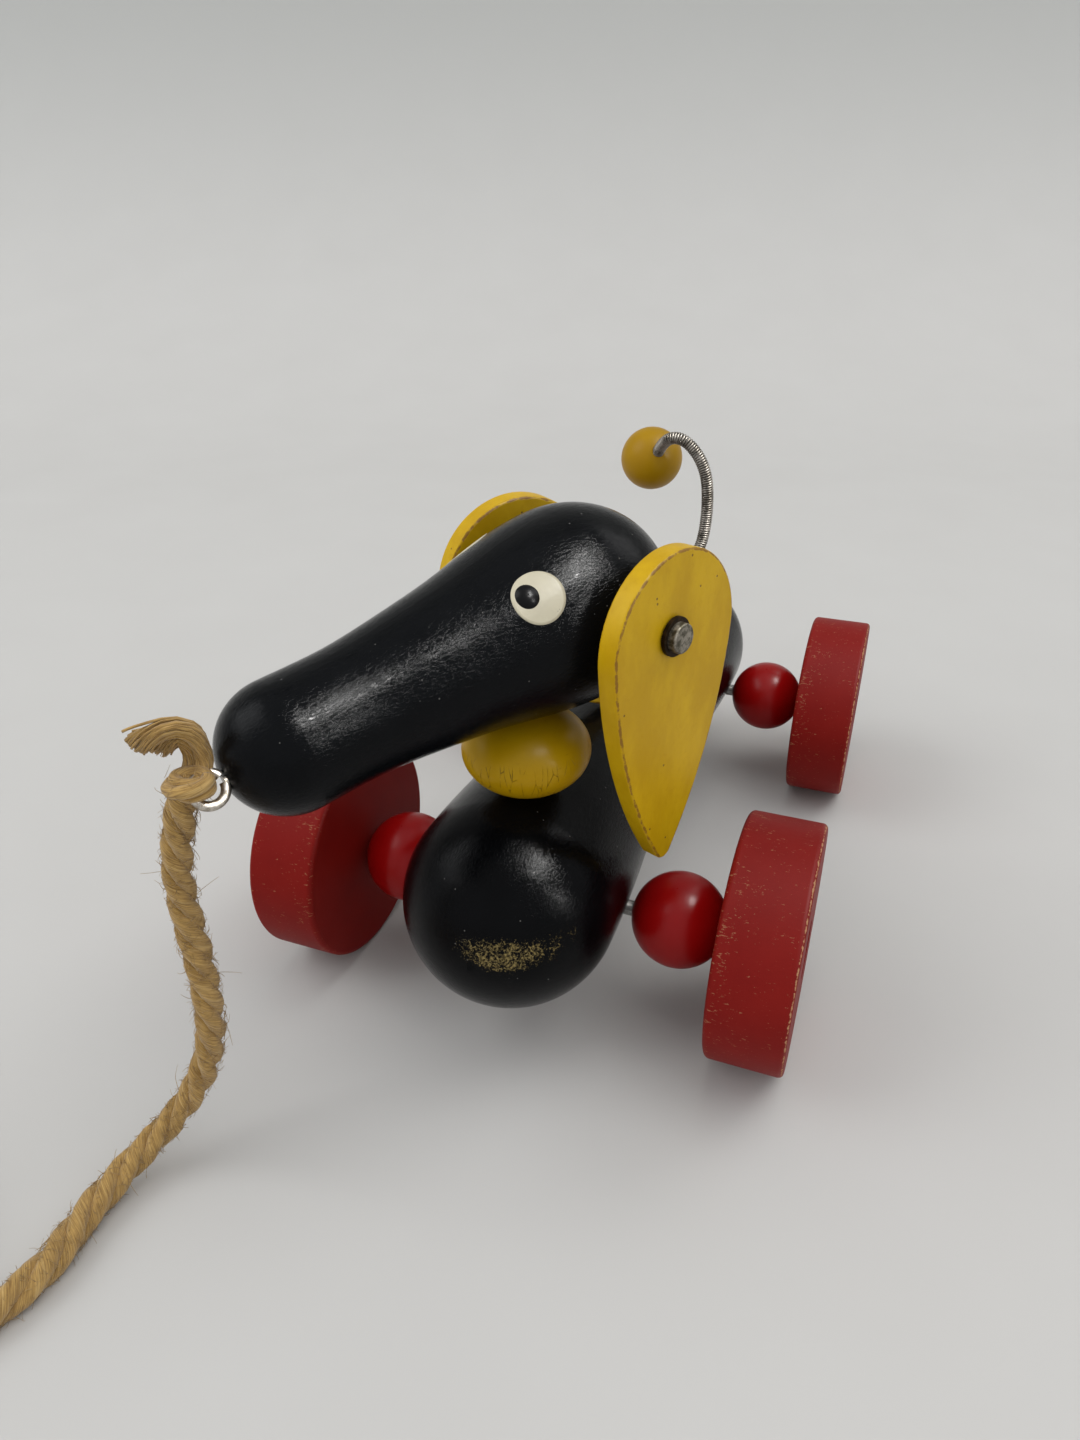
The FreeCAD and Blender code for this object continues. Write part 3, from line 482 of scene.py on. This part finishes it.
def neck_bead_paint():
    """Glossy yellow lacquer, patchy brown over its upper half and most towards +X, and cracked
    along the grain.
    """
    shader = Shader("neck_bead_paint")
    place = shader.local(Matrix.Translation(NECK))
    x, y, z = shader.split(place)
    arc = shader.product(shader.math("ARCTAN2", y, x), NECK_ARC)
    wrap = shader.join(arc, z, 0.0)
    yellow = shader.blend(shader.noise(place, 0.14, 4.0), *NECK_YELLOWS)
    gaps = shader.cells(shader.stretched(wrap, CRACK_SPREAD), 1.0, feature="DISTANCE_TO_EDGE")
    gaps = shader.math("ADD", gaps, shader.product(shader.noise(wrap, 0.7, 4.0), 0.05))
    low = shader.product(shader.step(z, *CRACK_TOP), shader.step(z, *CRACK_FOOT))
    here = shader.step(shader.noise(place, 0.30, 2.0), 0.43, 0.52)
    crack = shader.product(shader.product(shader.step(gaps, *CRACK_RIM), low), here)
    # patchy brown, over the upper half and strongest towards +X
    browned = shader.step(shader.noise(shader.stretched(wrap, (0.3, 1.2, 1.0)), 0.9, 5.0, 0.7),
                      0.60, 0.75)
    side = shader.math("MAXIMUM", shader.step(x, 5.0, 11.0), 0.45)
    browned = shader.product(shader.product(browned, side), shader.step(z, -3.5, 2.0))
    base = shader.blend(shader.product(browned, 0.75), yellow, NECK_BROWN)
    base = shader.blend(shader.product(crack, 0.65), base, NECK_CRACK)
    normal = shader.bump(shader.noise(shader.stretched(place, (1, 1, 0.3)), 0.9, 4.0), 0.04, 0.5)
    normal = shader.bump(crack, -0.12, 1.0, normal)
    roughness = shader.math("MULTIPLY_ADD", browned, 0.2, 0.36)
    return shader.finish(base_color=base, roughness=roughness, normal=normal,
                         specular_ior_level=0.15)


BALL_YELLOWS = (0.320, 0.168, 0.0012), (0.395, 0.224, 0.0035)
BALL_CHIPS = (0.14, 0.075, 0.02)


def ball_paint():
    """Dull yellow paint with small chips."""
    shader = Shader("tail_ball_paint")
    place = shader.local()
    cloud = shader.noise(place, 0.12, 4.0)
    yellow = shader.blend(cloud, *BALL_YELLOWS)
    chips = shader.step(shader.noise(place, 0.8, 5.0, 0.65), 0.72, 0.76)
    base = shader.blend(shader.product(chips, 0.5), yellow, BALL_CHIPS)
    normal = shader.bump(shader.noise(place, 0.8, 4.0), 0.04, 0.5)
    return shader.finish(base_color=base, roughness=0.38, normal=normal,
                         specular_ior_level=0.15)


def metal(name, dark, light, rough, pit_scale=1.2, pit_depth=0.04, brushed=(1, 1, 1)):
    """Worn metal: mottled tint, fine pits and a broken gloss."""
    shader = Shader(name)
    place = shader.local()
    mottle = shader.noise(shader.stretched(place, brushed), pit_scale, 5.0, 0.7)
    base = shader.blend(shader.step(mottle, 0.36, 0.64), dark, light)
    roughness = shader.math("MULTIPLY_ADD", mottle, 0.25, rough)
    normal = shader.bump(mottle, pit_depth, 0.8)
    return shader.finish(base_color=base, roughness=roughness, normal=normal, metallic=1.0)


def enamel(name, colour, rough):
    """Thin plain paint with brush marks in its gloss."""
    shader = Shader(name)
    place = shader.local()
    strokes = shader.noise(shader.stretched(place, (0.5, 1.0, 1.0)), 0.9, 4.0)
    base = shader.blend(strokes, colour, tuple(c * 0.86 for c in colour))
    specks = shader.step(shader.cells(place, 0.9), 0.12, 0.07)
    base = shader.blend(shader.product(specks, 0.5), base, tuple(c * 0.35 for c in colour))
    normal = shader.bump(strokes, 0.05, 0.5)
    return shader.finish(base_color=base, roughness=rough, normal=normal,
                         specular_ior_level=0.14)


JUTE_TONES = (0.560, 0.350, 0.105), (0.200, 0.105, 0.022), (0.720, 0.500, 0.200)


def jute(name, shade):
    """Jute fibre: UV U runs round a strand and V along it, both in millimetres."""
    shader = Shader(name)
    fibres = shader.add("TexCoord", "UV")
    place = shader.local()
    fine = shader.noise(shader.stretched(fibres, (5.0, 0.35, 1.0)), 1.0, 4.0, 0.65)
    thread = shader.noise(shader.stretched(fibres, (2.0, 0.10, 1.0)), 1.0, 3.0, 0.6)
    cloud = shader.noise(place, 0.11, 3.0)
    light, deep, pale = (tuple(c * shade for c in tone) for tone in JUTE_TONES)
    base = shader.blend(shader.step(fine, 0.30, 0.66), deep, light)
    base = shader.blend(shader.product(shader.step(thread, 0.52, 0.70), 0.55), base, pale)
    base = shader.blend(shader.product(cloud, 0.30), base, deep)
    ridges = shader.math("ADD", fine, shader.product(thread, 1.2))
    normal = shader.bump(ridges, 0.16, 0.9)
    return shader.finish(base_color=base, roughness=0.82, normal=normal,
                         specular_ior_level=0.2, sheen_weight=0.25)


WOOD_TONES = (0.42, 0.27, 0.13), (0.60, 0.43, 0.24)


def bare_wood():
    """Unpainted wood with its rings drawn out upwards."""
    shader = Shader("dowel_wood")
    place = shader.local()
    rings = shader.noise(shader.stretched(place, (1.0, 1.0, 0.08)), 0.8, 4.0)
    base = shader.blend(rings, *WOOD_TONES)
    normal = shader.bump(rings, 0.05, 0.6)
    return shader.finish(base_color=base, roughness=0.6, normal=normal)


# ---------------------------------------------------------------- cord and rope

# the route of part.py, from the knot at the nose down to the floor and the coil
CORD_ROUTE = (
    (-32.8, -108.0, 78.5), (-37.8, -108.1, 65.2), (-37.5, -107.7, 49.6),
    (-36.5, -108.0, 35.4), (-38.9, -107.7, 22.0), (-43.6, -111.3, 10.9),
    (-49.4, -120.1, 4.4), (-50.7, -131.2, 2.8), (-49.4, -141.8, 2.8),
    (-53.6, -153.6, 2.8), (-60.6, -166.0, 2.8), (-65.9, -179.0, 2.8))
COIL_CENTRE = Vector((-96.2, -167.5, 0.0))
COIL_START = math.radians(-20.8)
COIL_STEP = 20.0  # degrees between the spline's points
# degrees turned, radius, height; eased between
COIL_KEYS = (
    (0, 32.4, 2.8), (280, 32.4, 2.8), (350, 27.0, 2.8), (560, 26.9, 2.8),
    (630, 29.4, 7.6), (670, 29.6, 8.0), (710, 29.7, 7.8), (900, 29.6, 7.6),
    (940, 24.6, 7.9), (980, 19.4, 6.2), (1000, 17.2, 5.4))
HAND_KNOT = Vector((-87.4, -152.7, 5.3))

# metres along the cord and its thickness there, against the nominal one
CORD_SCALE = ((0.0, 0.90), (0.07, 0.95), (0.12, 1.10), (0.20, 1.06), (9.0, 1.04))
HITCH_SCALE, HAND_KNOT_SCALE = 0.71, 0.90
ROPE_LAY, HITCH_LAY, HAND_KNOT_LAY = 20.0 * MM, 60.0 * MM, 14.0 * MM
STRAND_RADIUS, STRAND_OFFSET = 1.46 * MM, 1.26 * MM
STRANDS, STRAND_SIDES = 3, 18
ROPE_STEP, FINE_STEP = 0.6 * MM, 0.4 * MM
FIBRE_SLOPE, HITCH_FIBRE_SLOPE = 0.55, 0.05
SPLINE_STEPS = 24
KNOT_STEPS = 120
NEAR_LENGTH = 0.16  # metres of cord from the nose that carry the denser fuzz

# the cut end that stands up from the knot, and the closed turn of the knot itself
END_ROUTE = (
    (-31.3, -107.8, 79.8), (-32.2, -104.3, 81.1), (-32.0, -104.9, 85.2),
    (-32.7, -106.2, 87.9), (-34.9, -107.3, 87.3), (-37.8, -108.1, 85.0))
HITCH_ROUTE = (
    (-28.4, -108.2, 80.3), (-29.9, -106.4, 80.3), (-32.7, -106.4, 80.0),
    (-34.2, -108.2, 79.8), (-32.7, -110.0, 79.8), (-29.9, -110.0, 80.1))


def eased(keys, x):
    """Value at x of rows (x, value, ...), eased between the rows."""
    for (x0, *low), (x1, *high) in zip(keys, keys[1:]):
        if x <= x1:
            t = max(0.0, (x - x0) / (x1 - x0))
            t = t * t * (3 - 2 * t)
            return [a + (b - a) * t for a, b in zip(low, high)]
    return list(keys[-1][1:])


def coil_points():
    points = []
    turned = COIL_STEP
    while turned <= COIL_KEYS[-1][0]:
        radius, height = eased(COIL_KEYS, turned)
        angle = COIL_START - math.radians(turned)
        points.append(COIL_CENTRE + Vector((radius * math.cos(angle),
                                            radius * math.sin(angle), height)))
        turned += COIL_STEP
    return points


def spline_line(name, points, closed=False):
    """Points along a smooth NURBS spline whose control points are in millimetres."""
    curve = bpy.data.curves.new(name, "CURVE")
    curve.dimensions = "3D"
    curve.resolution_u = SPLINE_STEPS
    spline = curve.splines.new("NURBS")
    spline.points.add(len(points) - 1)
    for slot, point in zip(spline.points, points):
        slot.co = (*(Vector(point) * MM), 1.0)
    spline.order_u = 3
    spline.use_cyclic_u = closed
    spline.use_endpoint_u = not closed
    holder = bpy.data.objects.new(name, curve)
    mesh = bpy.data.meshes.new_from_object(holder)
    line = [vertex.co.copy() for vertex in mesh.vertices]
    bpy.data.objects.remove(holder)
    bpy.data.curves.remove(curve)
    bpy.data.meshes.remove(mesh)
    if closed:
        line.append(line[0].copy())
    return line


def evenly(line, step):
    """The same line with points about a step apart."""
    lengths = [0.0]
    for a, b in zip(line, line[1:]):
        lengths.append(lengths[-1] + (b - a).length)
    count = max(2, round(lengths[-1] / step))
    points, k = [], 0
    for n in range(count + 1):
        target = lengths[-1] * n / count
        while k < len(line) - 2 and lengths[k + 1] < target:
            k += 1
        span = max(lengths[k + 1] - lengths[k], 1e-12)
        points.append(line[k].lerp(line[k + 1], (target - lengths[k]) / span))
    return points


def line_length(line):
    return sum((b - a).length for a, b in zip(line, line[1:]))


def carried_frames(line):
    """Tangent and two normals at each point, carried along without twisting."""
    frames = []
    normal = X_AXIS
    last = len(line) - 1
    for k in range(last + 1):
        tangent = (line[min(k + 1, last)] - line[max(k - 1, 0)]).normalized()
        normal = (normal - tangent * normal.dot(tangent)).normalized()
        frames.append((tangent, normal, tangent.cross(normal)))
    return frames


class Tubes:
    """A mesh gathered from tubes, with UVs in millimetres round and along each."""

    def __init__(self):
        self.points, self.faces, self.uvs = [], [], []

    def tube(self, line, radii, sides, frames=None, slope=0.0, start=0.0, rough=0.0):
        """Add a tube; start shifts its grain, and rough lets its girth wander."""
        frames = frames or carried_frames(line)
        base = len(self.points)
        along, reach = start, []
        for k, (place, (_, normal, other)) in enumerate(zip(line, frames)):
            if k:
                along += (place - line[k - 1]).length / MM
            reach.append(along)
            for j in range(sides):
                angle = 2 * math.pi * j / sides
                radius = radii[k]
                if rough:
                    radius *= 1 + rough * noise.noise(Vector(
                        (1.9 * math.cos(angle) + slope * along, 1.9 * math.sin(angle),
                         0.45 * along + start)))
                self.points.append(place + radius * (
                    normal * math.cos(angle) + other * math.sin(angle)))
        last = len(line) - 1
        girth = 2 * math.pi * radii[0] / MM / sides
        for k in range(last):
            near, far = base + k * sides, base + (k + 1) * sides
            for j in range(sides):
                j2 = (j + 1) % sides
                self.faces.append((near + j, near + j2, far + j2, far + j))
                for column, distance in ((j, reach[k]), (j + 1, reach[k]),
                                         (j + 1, reach[k + 1]), (j, reach[k + 1])):
                    self.uvs.append((girth * column + slope * distance, distance))
        for k in (0, last):
            ring = [base + k * sides + j for j in range(sides)]
            self.faces.append(tuple(reversed(ring)) if k == 0 else tuple(ring))
            self.uvs.extend([(0.0, reach[k])] * sides)

    def piece(self, name, material):
        """An object of all the tubes, with nothing below the floor."""
        resting = [(point.x, point.y, max(point.z, 0.0)) for point in self.points]
        result = mesh_object(name, resting, self.faces)
        layer = result.data.uv_layers.new(name="UVMap")
        layer.data.foreach_set("uv", [value for uv in self.uvs for value in uv])
        result.data.materials.append(material)
        return result


def lay_strands(tubes, line, scales, lay=ROPE_LAY, phase=0.0, closed=False,
                slope=FIBRE_SLOPE):
    """Strands laid left-handed round a line; scales gives the rope's thickness at each point."""
    frames = carried_frames(line)
    turned, turns = 0.0, [0.0]
    for a, b, scale in zip(line, line[1:], scales):
        turned += (b - a).length / (lay * scale)
        turns.append(turned)
    spread = 1.0
    if closed:
        # whole thirds of a turn, less the drift of the frames, so that the ends meet
        (_, start, side), (_, end, _) = frames[0], frames[-1]
        drift = math.atan2(end.dot(side), end.dot(start)) / (2 * math.pi)
        spread = (round(turned * STRANDS) / STRANDS + drift) / turned
    for strand in range(STRANDS):
        centres, radii, normals = [], [], []
        for k, (place, (_, normal, other)) in enumerate(zip(line, frames)):
            angle = phase + 2 * math.pi * (strand / STRANDS - turns[k] * spread)
            out = normal * math.cos(angle) + other * math.sin(angle)
            drift = noise.noise(Vector((turns[k] * 5.1, strand * 7.3, phase)))
            swell = 1.0 + 0.07 * noise.noise(Vector((turns[k] * 2.3, strand * 3.7, 9.0 + phase)))
            centres.append(place + out * STRAND_OFFSET * scales[k] * (1 + 0.10 * drift))
            radii.append(STRAND_RADIUS * scales[k] * swell)
            normals.append(-out)
        strand_frames = []
        for k, inward in enumerate(normals):
            tangent = (centres[min(k + 1, len(centres) - 1)]
                       - centres[max(k - 1, 0)]).normalized()
            inward = (inward - tangent * inward.dot(tangent)).normalized()
            strand_frames.append((tangent, inward, tangent.cross(inward)))
        tubes.tube(centres, radii, STRAND_SIDES, strand_frames, slope,
                   start=strand * 41.0, rough=0.16)
    return frames


# how many loose fibres, and the longest in millimetres
NEAR_FUZZ, FLOOR_FUZZ, KNOT_FUZZ = (2200, 7.0), (1800, 5.0), (60, 4.0)
FUZZ_STEPS, FUZZ_SIDES = 7, 3
FUZZ_CURL = 4.5
FUZZ_LENGTH = (1.0, 2.6)  # in millimetres, of all but a few
SHORT_FUZZ = 0.99  # share of the fibres that are short
FUZZ_THICKNESS = (0.040, 0.075)
FLOOR_GAP = 0.15 * MM


def fuzz(tubes, line, frames, scales, rng, count, longest):
    """Fine loose fibres curling off a rope."""
    for _ in range(count):
        k = rng.randrange(2, len(line) - 2)
        tangent, normal, other = frames[k]
        angle = rng.uniform(0, 2 * math.pi)
        out = normal * math.cos(angle) + other * math.sin(angle)
        side = tangent.cross(out)
        way = tangent * rng.choice((-1, 1)) * rng.uniform(0.4, 1.3) + side * rng.uniform(-0.6, 0.6)
        short = rng.random() < SHORT_FUZZ
        length = rng.uniform(*(FUZZ_LENGTH if short else (FUZZ_LENGTH[1], longest)))
        lift = rng.uniform(0.15, 0.9)
        curl = rng.uniform(-FUZZ_CURL, FUZZ_CURL)
        place = line[k] + out * (STRAND_OFFSET + STRAND_RADIUS * 0.8) * scales[k]
        heading = (way + out * lift).normalized()
        points = [place]
        for _ in range(FUZZ_STEPS):
            heading = (heading + side * curl * 0.22 - out * 0.10
                       + Vector([rng.uniform(-0.16, 0.16) for _ in range(3)])).normalized()
            place = place + heading * length * MM / FUZZ_STEPS
            place.z = max(place.z, FLOOR_GAP)
            points.append(place)
        thick = rng.uniform(*FUZZ_THICKNESS) * MM
        radii = [thick * (1.0 - 0.55 * n / FUZZ_STEPS) for n in range(FUZZ_STEPS + 1)]
        tubes.tube(points, radii, FUZZ_SIDES)


def add_cord():
    """The pull cord with its coil, knots and frayed end."""
    rng = random.Random(SEED)
    strand_look, fibre_look = jute("jute", 1.0), jute("jute_fibres", 0.95)
    route = spline_line("cord_route", [Vector(p) for p in CORD_ROUTE] + coil_points())
    line = evenly(route, ROPE_STEP)
    step = line_length(line) / (len(line) - 1)
    scales = [eased(CORD_SCALE, k * step)[0] for k in range(len(line))]
    rope = Tubes()
    frames = lay_strands(rope, line, scales)
    cord = rope.piece("pull_rope", strand_look)
    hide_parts("pull_cord", "cord_coil")

    hitch_line = evenly(spline_line("hitch_route", HITCH_ROUTE, closed=True), FINE_STEP)
    hitch_rope = Tubes()
    hitch_scales = [HITCH_SCALE] * len(hitch_line)
    hitch_frames = lay_strands(hitch_rope, hitch_line, hitch_scales, HITCH_LAY, phase=1.0,
                               closed=True, slope=HITCH_FIBRE_SLOPE)
    hitch = hitch_rope.piece("cord_knot", strand_look)
    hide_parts("cord_hitch")

    end_line = evenly(spline_line("end_route", END_ROUTE), FINE_STEP)
    end = frayed_end(end_line, rng, strand_look)
    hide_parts("cord_end")

    tilt = Euler(HAND_KNOT_TILT).to_matrix()
    knot_line = [HAND_KNOT * MM + tilt @ trefoil(2 * math.pi * n / KNOT_STEPS)
                 for n in range(KNOT_STEPS + 1)]
    knot_rope = Tubes()
    knot_scales = [HAND_KNOT_SCALE] * len(knot_line)
    knot_frames = lay_strands(knot_rope, knot_line, knot_scales, HAND_KNOT_LAY, phase=2.0,
                              closed=True)
    hand_knot = knot_rope.piece("hand_knot", strand_look)
    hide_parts("cord_hand_knot")

    fibres = Tubes()
    near = round(NEAR_LENGTH / step)
    fuzz(fibres, line[:near], frames[:near], scales, rng, *NEAR_FUZZ)
    fuzz(fibres, line[near:], frames[near:], scales[near:], rng, *FLOOR_FUZZ)
    fuzz(fibres, hitch_line, hitch_frames, hitch_scales, rng, *KNOT_FUZZ)
    fuzz(fibres, knot_line, knot_frames, knot_scales, rng, *KNOT_FUZZ)
    fibre_piece = fibres.piece("cord_fibres", fibre_look)
    for piece in (cord, hitch, end, hand_knot, fibre_piece):
        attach(piece, "head_body")


KNOT_SPREAD, KNOT_HEIGHT = 1.55 * MM, 2.2 * MM
HAND_KNOT_TILT = (math.radians(6), math.radians(-5), math.radians(20))


def trefoil(t):
    """Centreline of a simple knot, closed on itself."""
    return Vector((KNOT_SPREAD * (math.sin(t) + 2 * math.sin(2 * t)),
                   KNOT_SPREAD * (math.cos(t) - 2 * math.cos(2 * t)),
                   -KNOT_HEIGHT * math.sin(3 * t)))


END_BUNDLES, BUNDLE_SIDES = 420, 5
END_CORE, END_SPLIT = 1.12, 1.02  # of each strand, and of the two apart, in millimetres
END_TWIST = 3.0  # radians from the knot to the cut
END_LOOSE_FROM = 0.45  # share of the way along at which the strands come loose
END_FAN, END_DEEPEN = 0.68, 0.35  # how much wider and deeper the cut is than the rope
STRAY_SHARE, STRAY_REACH = 0.08, 1.4
BUNDLE_THICK, SINGLE_THICK = (0.16, 0.32), (0.05, 0.09)  # every fourth is a single fibre


def frayed_end(line, rng, material):
    """The cord's cut end above the knot: two strands side by side that open into fibres."""
    tubes = Tubes()
    frames = carried_frames(line)
    last = len(line) - 1
    for n in range(END_BUNDLES):
        strand = 1 if n % 2 else -1
        angle, depth = rng.uniform(0, 2 * math.pi), math.sqrt(rng.random())
        stray = rng.uniform(-1.0, 1.0) if rng.random() < STRAY_SHARE else 0.0
        stop = last - rng.randrange(0, max(2, last // 22))
        fan = rng.uniform(0.9, 1.1)
        points = []
        for k in range(0, stop + 1, 2):
            t = k / last
            _, normal, other = frames[k]
            loosened = max(0.0, (t - END_LOOSE_FROM) / (1.0 - END_LOOSE_FROM))
            twist = angle - END_TWIST * t
            across = strand * END_SPLIT + END_CORE * depth * math.cos(twist)
            deep = END_CORE * depth * math.sin(twist)
            wave = noise.noise(Vector((n * 1.7, t * 4.0, 0.3))) * (0.22 + 0.5 * loosened)
            across = across * (1.0 + END_FAN * fan * loosened ** 0.7) + wave
            across += stray * STRAY_REACH * loosened ** 2
            deep = deep * (1.0 + END_DEEPEN * loosened) + wave * 0.7 + stray * loosened ** 2
            points.append(line[k] + MM * (normal * across + other * deep))
        thick = rng.uniform(*(BUNDLE_THICK if n % 4 else SINGLE_THICK))
        radii = [thick * MM * (1.0 - 0.15 * k / len(points)) for k in range(len(points))]
        tubes.tube(points, radii, BUNDLE_SIDES, start=n * 3.1)
    return tubes.piece("cord_frayed_end", material)


# ------------------------------------------------------------ tail and eyes

TAIL_ROUTE = (
    (0.0, 83.0, 50.3), (0.3, 85.4, 54.7), (2.8, 88.0, 60.1), (3.6, 88.8, 67.5),
    (3.5, 88.9, 75.0), (2.6, 88.7, 82.0), (-0.4, 88.3, 88.2), (-5.6, 88.1, 92.7),
    (-11.2, 89.6, 91.4), (-13.9, 93.3, 86.5))
TAIL_SOCKET = (0.0, -0.5, -0.866)  # way into the socket from the first point
SOCKET_DEPTH = 7.0
SPRING_RADIUS, SPRING_WIRE = 1.53 * MM, 0.32 * MM
SPRING_PITCH, TURN_STEPS, WIRE_SIDES = 0.70 * MM, 18, 8
SPRING_MIDDLE = 63.5 * MM  # height at which the spring's two pieces meet
# where each piece's stretch between one body and the next starts and stops, in millimetres
LOWER_BEND = (0.0, 81.3, 47.4), (1.6, 86.6, 57.0)
UPPER_BEND = (3.5, 88.8, 68.5), (3.1, 88.9, 81.0)


def helix(line):
    """Centreline of a spring's wire round a line."""
    frames = carried_frames(line)
    step = line_length(line) / (len(line) - 1)
    wire = []
    for k, (place, (_, normal, other)) in enumerate(zip(line, frames)):
        angle = 2 * math.pi * k * step / SPRING_PITCH
        wire.append(place + SPRING_RADIUS * (normal * math.cos(angle) + other * math.sin(angle)))
    return wire


def add_tail(steel):
    """The coil spring in two pieces, which stand in for the CAD spring's nodes."""
    first = Vector(TAIL_ROUTE[0])
    route = [first + Vector(TAIL_SOCKET) * SOCKET_DEPTH, *map(Vector, TAIL_ROUTE)]
    wire = helix(evenly(spline_line("tail_route", route), SPRING_PITCH / TURN_STEPS))
    middle = min(range(len(wire)), key=lambda k: abs(wire[k].z - SPRING_MIDDLE))
    for name, part, bodies, (start, end), nodes in (
            ("spring_lower", wire[:middle + 1], ("toy_body", "tail_lower_body"), LOWER_BEND,
             ("tail_spring_root", "tail_spring_lower")),
            ("spring_upper", wire[middle:], ("tail_lower_body", "tail_upper_body"), UPPER_BEND,
             ("tail_spring_upper",))):
        tubes = Tubes()
        tubes.tube(part, [SPRING_WIRE] * len(part), WIRE_SIDES)
        piece = tubes.piece(name, steel)
        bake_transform(piece)
        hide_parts(*nodes)


# place along the head, angle from its top and radius of each patch
EYES = {"left": (-2.1 * MM, math.radians(46.5), 4.45 * MM),
        "right": (-0.5 * MM, math.radians(44.5), 5.4 * MM)}
EYE_RINGS, EYE_SPOKES = 10, 64
EYE_LIFT, EYE_TUCK = 0.07 * MM, 0.05 * MM  # paint above the head, its rim below
HEAD_RADIUS = 15.7 * MM  # about what the head has at the eyes
OUTSIDE = 40 * MM


def add_eye_patches(material):
    """Painted discs that follow the head's surface round the tacks."""
    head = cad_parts["head"]
    tree = BVHTree.FromPolygons([tuple(v.co) for v in head.data.vertices],
                                [tuple(p.vertices) for p in head.data.polygons])
    for side, sign in SIDES.items():
        along, down, size = EYES[side]
        points, faces = [], []
        for ring in range(EYE_RINGS + 1):
            for spoke in range(EYE_SPOKES if ring else 1):
                turn = 2 * math.pi * spoke / EYE_SPOKES
                egg = 1.0 + 0.06 * math.cos(turn) + 0.012 * math.sin(3 * turn + 1.0 + sign)
                reach = size * egg * min(1.0, ring / (EYE_RINGS - 1))
                y = along + reach * math.cos(turn)
                angle = sign * (down + reach * math.sin(turn) / HEAD_RADIUS)
                way = Vector((math.sin(angle), 0, math.cos(angle)))
                outside = HEAD_FRAME @ (Vector((0, y, 0)) + way * OUTSIDE)
                inward = -(HEAD_FRAME.to_3x3() @ way)
                place, _, _, _ = tree.ray_cast(outside, inward)
                lift = -EYE_TUCK if ring == EYE_RINGS else EYE_LIFT
                points.append(place - inward * lift)
        for spoke in range(EYE_SPOKES):
            after = (spoke + 1) % EYE_SPOKES
            faces.append((0, 1 + spoke, 1 + after))
            for ring in range(1, EYE_RINGS):
                a = 1 + (ring - 1) * EYE_SPOKES
                faces.append((a + spoke, a + EYE_SPOKES + spoke,
                              a + EYE_SPOKES + after, a + after))
        patch = mesh_object("eye_patch_" + side, points, faces)
        bm = bmesh.new()
        bm.from_mesh(patch.data)
        bmesh.ops.recalc_face_normals(bm, faces=bm.faces)
        outward = HEAD_FRAME.to_3x3() @ Vector((sign, 0, 1))
        if next(iter(bm.faces)).normal.dot(outward) < 0:
            bmesh.ops.reverse_faces(bm, faces=bm.faces)
        bm.to_mesh(patch.data)
        bm.free()
        patch.data.materials.append(material)
        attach(patch, "head_body")


# ----------------------------------------------------------------- dressing

def dress(node, material):
    """Give a CAD node its material in every slot."""
    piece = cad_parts[node]
    if not piece.material_slots:
        piece.data.materials.append(material)
    for slot in piece.material_slots:
        slot.material = material


def middle_of(node):
    """Middle of a node's box."""
    low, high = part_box(node)
    return (Vector(low) + Vector(high)) / 2


def dress_toy():
    """Materials of all the CAD nodes, with the eye patches and the spring."""
    dress("body", body_lacquer())
    dress("head", head_lacquer())
    dress("neck_bead", neck_bead_paint())
    dress("neck_dowel", bare_wood())
    dress("tail_ball", ball_paint())
    axle = metal("axle_steel", (0.20, 0.19, 0.18), (0.42, 0.41, 0.39), 0.32, brushed=(0.2, 1, 1))
    cap = metal("cap_steel", (0.30, 0.29, 0.28), (0.55, 0.54, 0.52), 0.25)
    for end in ("front", "rear"):
        dress(end + "_axle", axle)
        for side in SIDES:
            wheel, bead = f"{end}_wheel_{side}", f"{end}_bead_{side}"
            dress(wheel, wheel_paint(wheel + "_paint", middle_of(wheel), SIDES[side]))
            dress(bead, bead_paint(bead + "_paint", middle_of(bead)))
            dress(f"{end}_axle_cap_{side}", cap)
    nail = metal("nail_steel", (0.055, 0.05, 0.035), (0.23, 0.21, 0.175), 0.45, 0.8, 0.12)
    washer = metal("dark_washer", (0.012, 0.008, 0.005), (0.035, 0.022, 0.012), 0.45)
    tack = enamel("black_tack", (0.003, 0.003, 0.0035), 0.30)
    for side in SIDES:
        dress("ear_" + side, ear_paint(side))
        dress("ear_nail_" + side, nail)
        dress("ear_washer_" + side, washer)
        dress("eye_tack_" + side, tack)
    dress("screw_eye", metal("screw_eye_steel", (0.27, 0.235, 0.19), (0.60, 0.56, 0.50),
                             0.24, 0.9, 0.03))
    add_eye_patches(enamel("eye_white", (0.62, 0.57, 0.42), 0.33))
    add_tail(metal("spring_steel", (0.10, 0.088, 0.072), (0.34, 0.315, 0.28), 0.28, 0.35))


add_camera()
add_cord()
add_stage()
add_lights()
dress_toy()
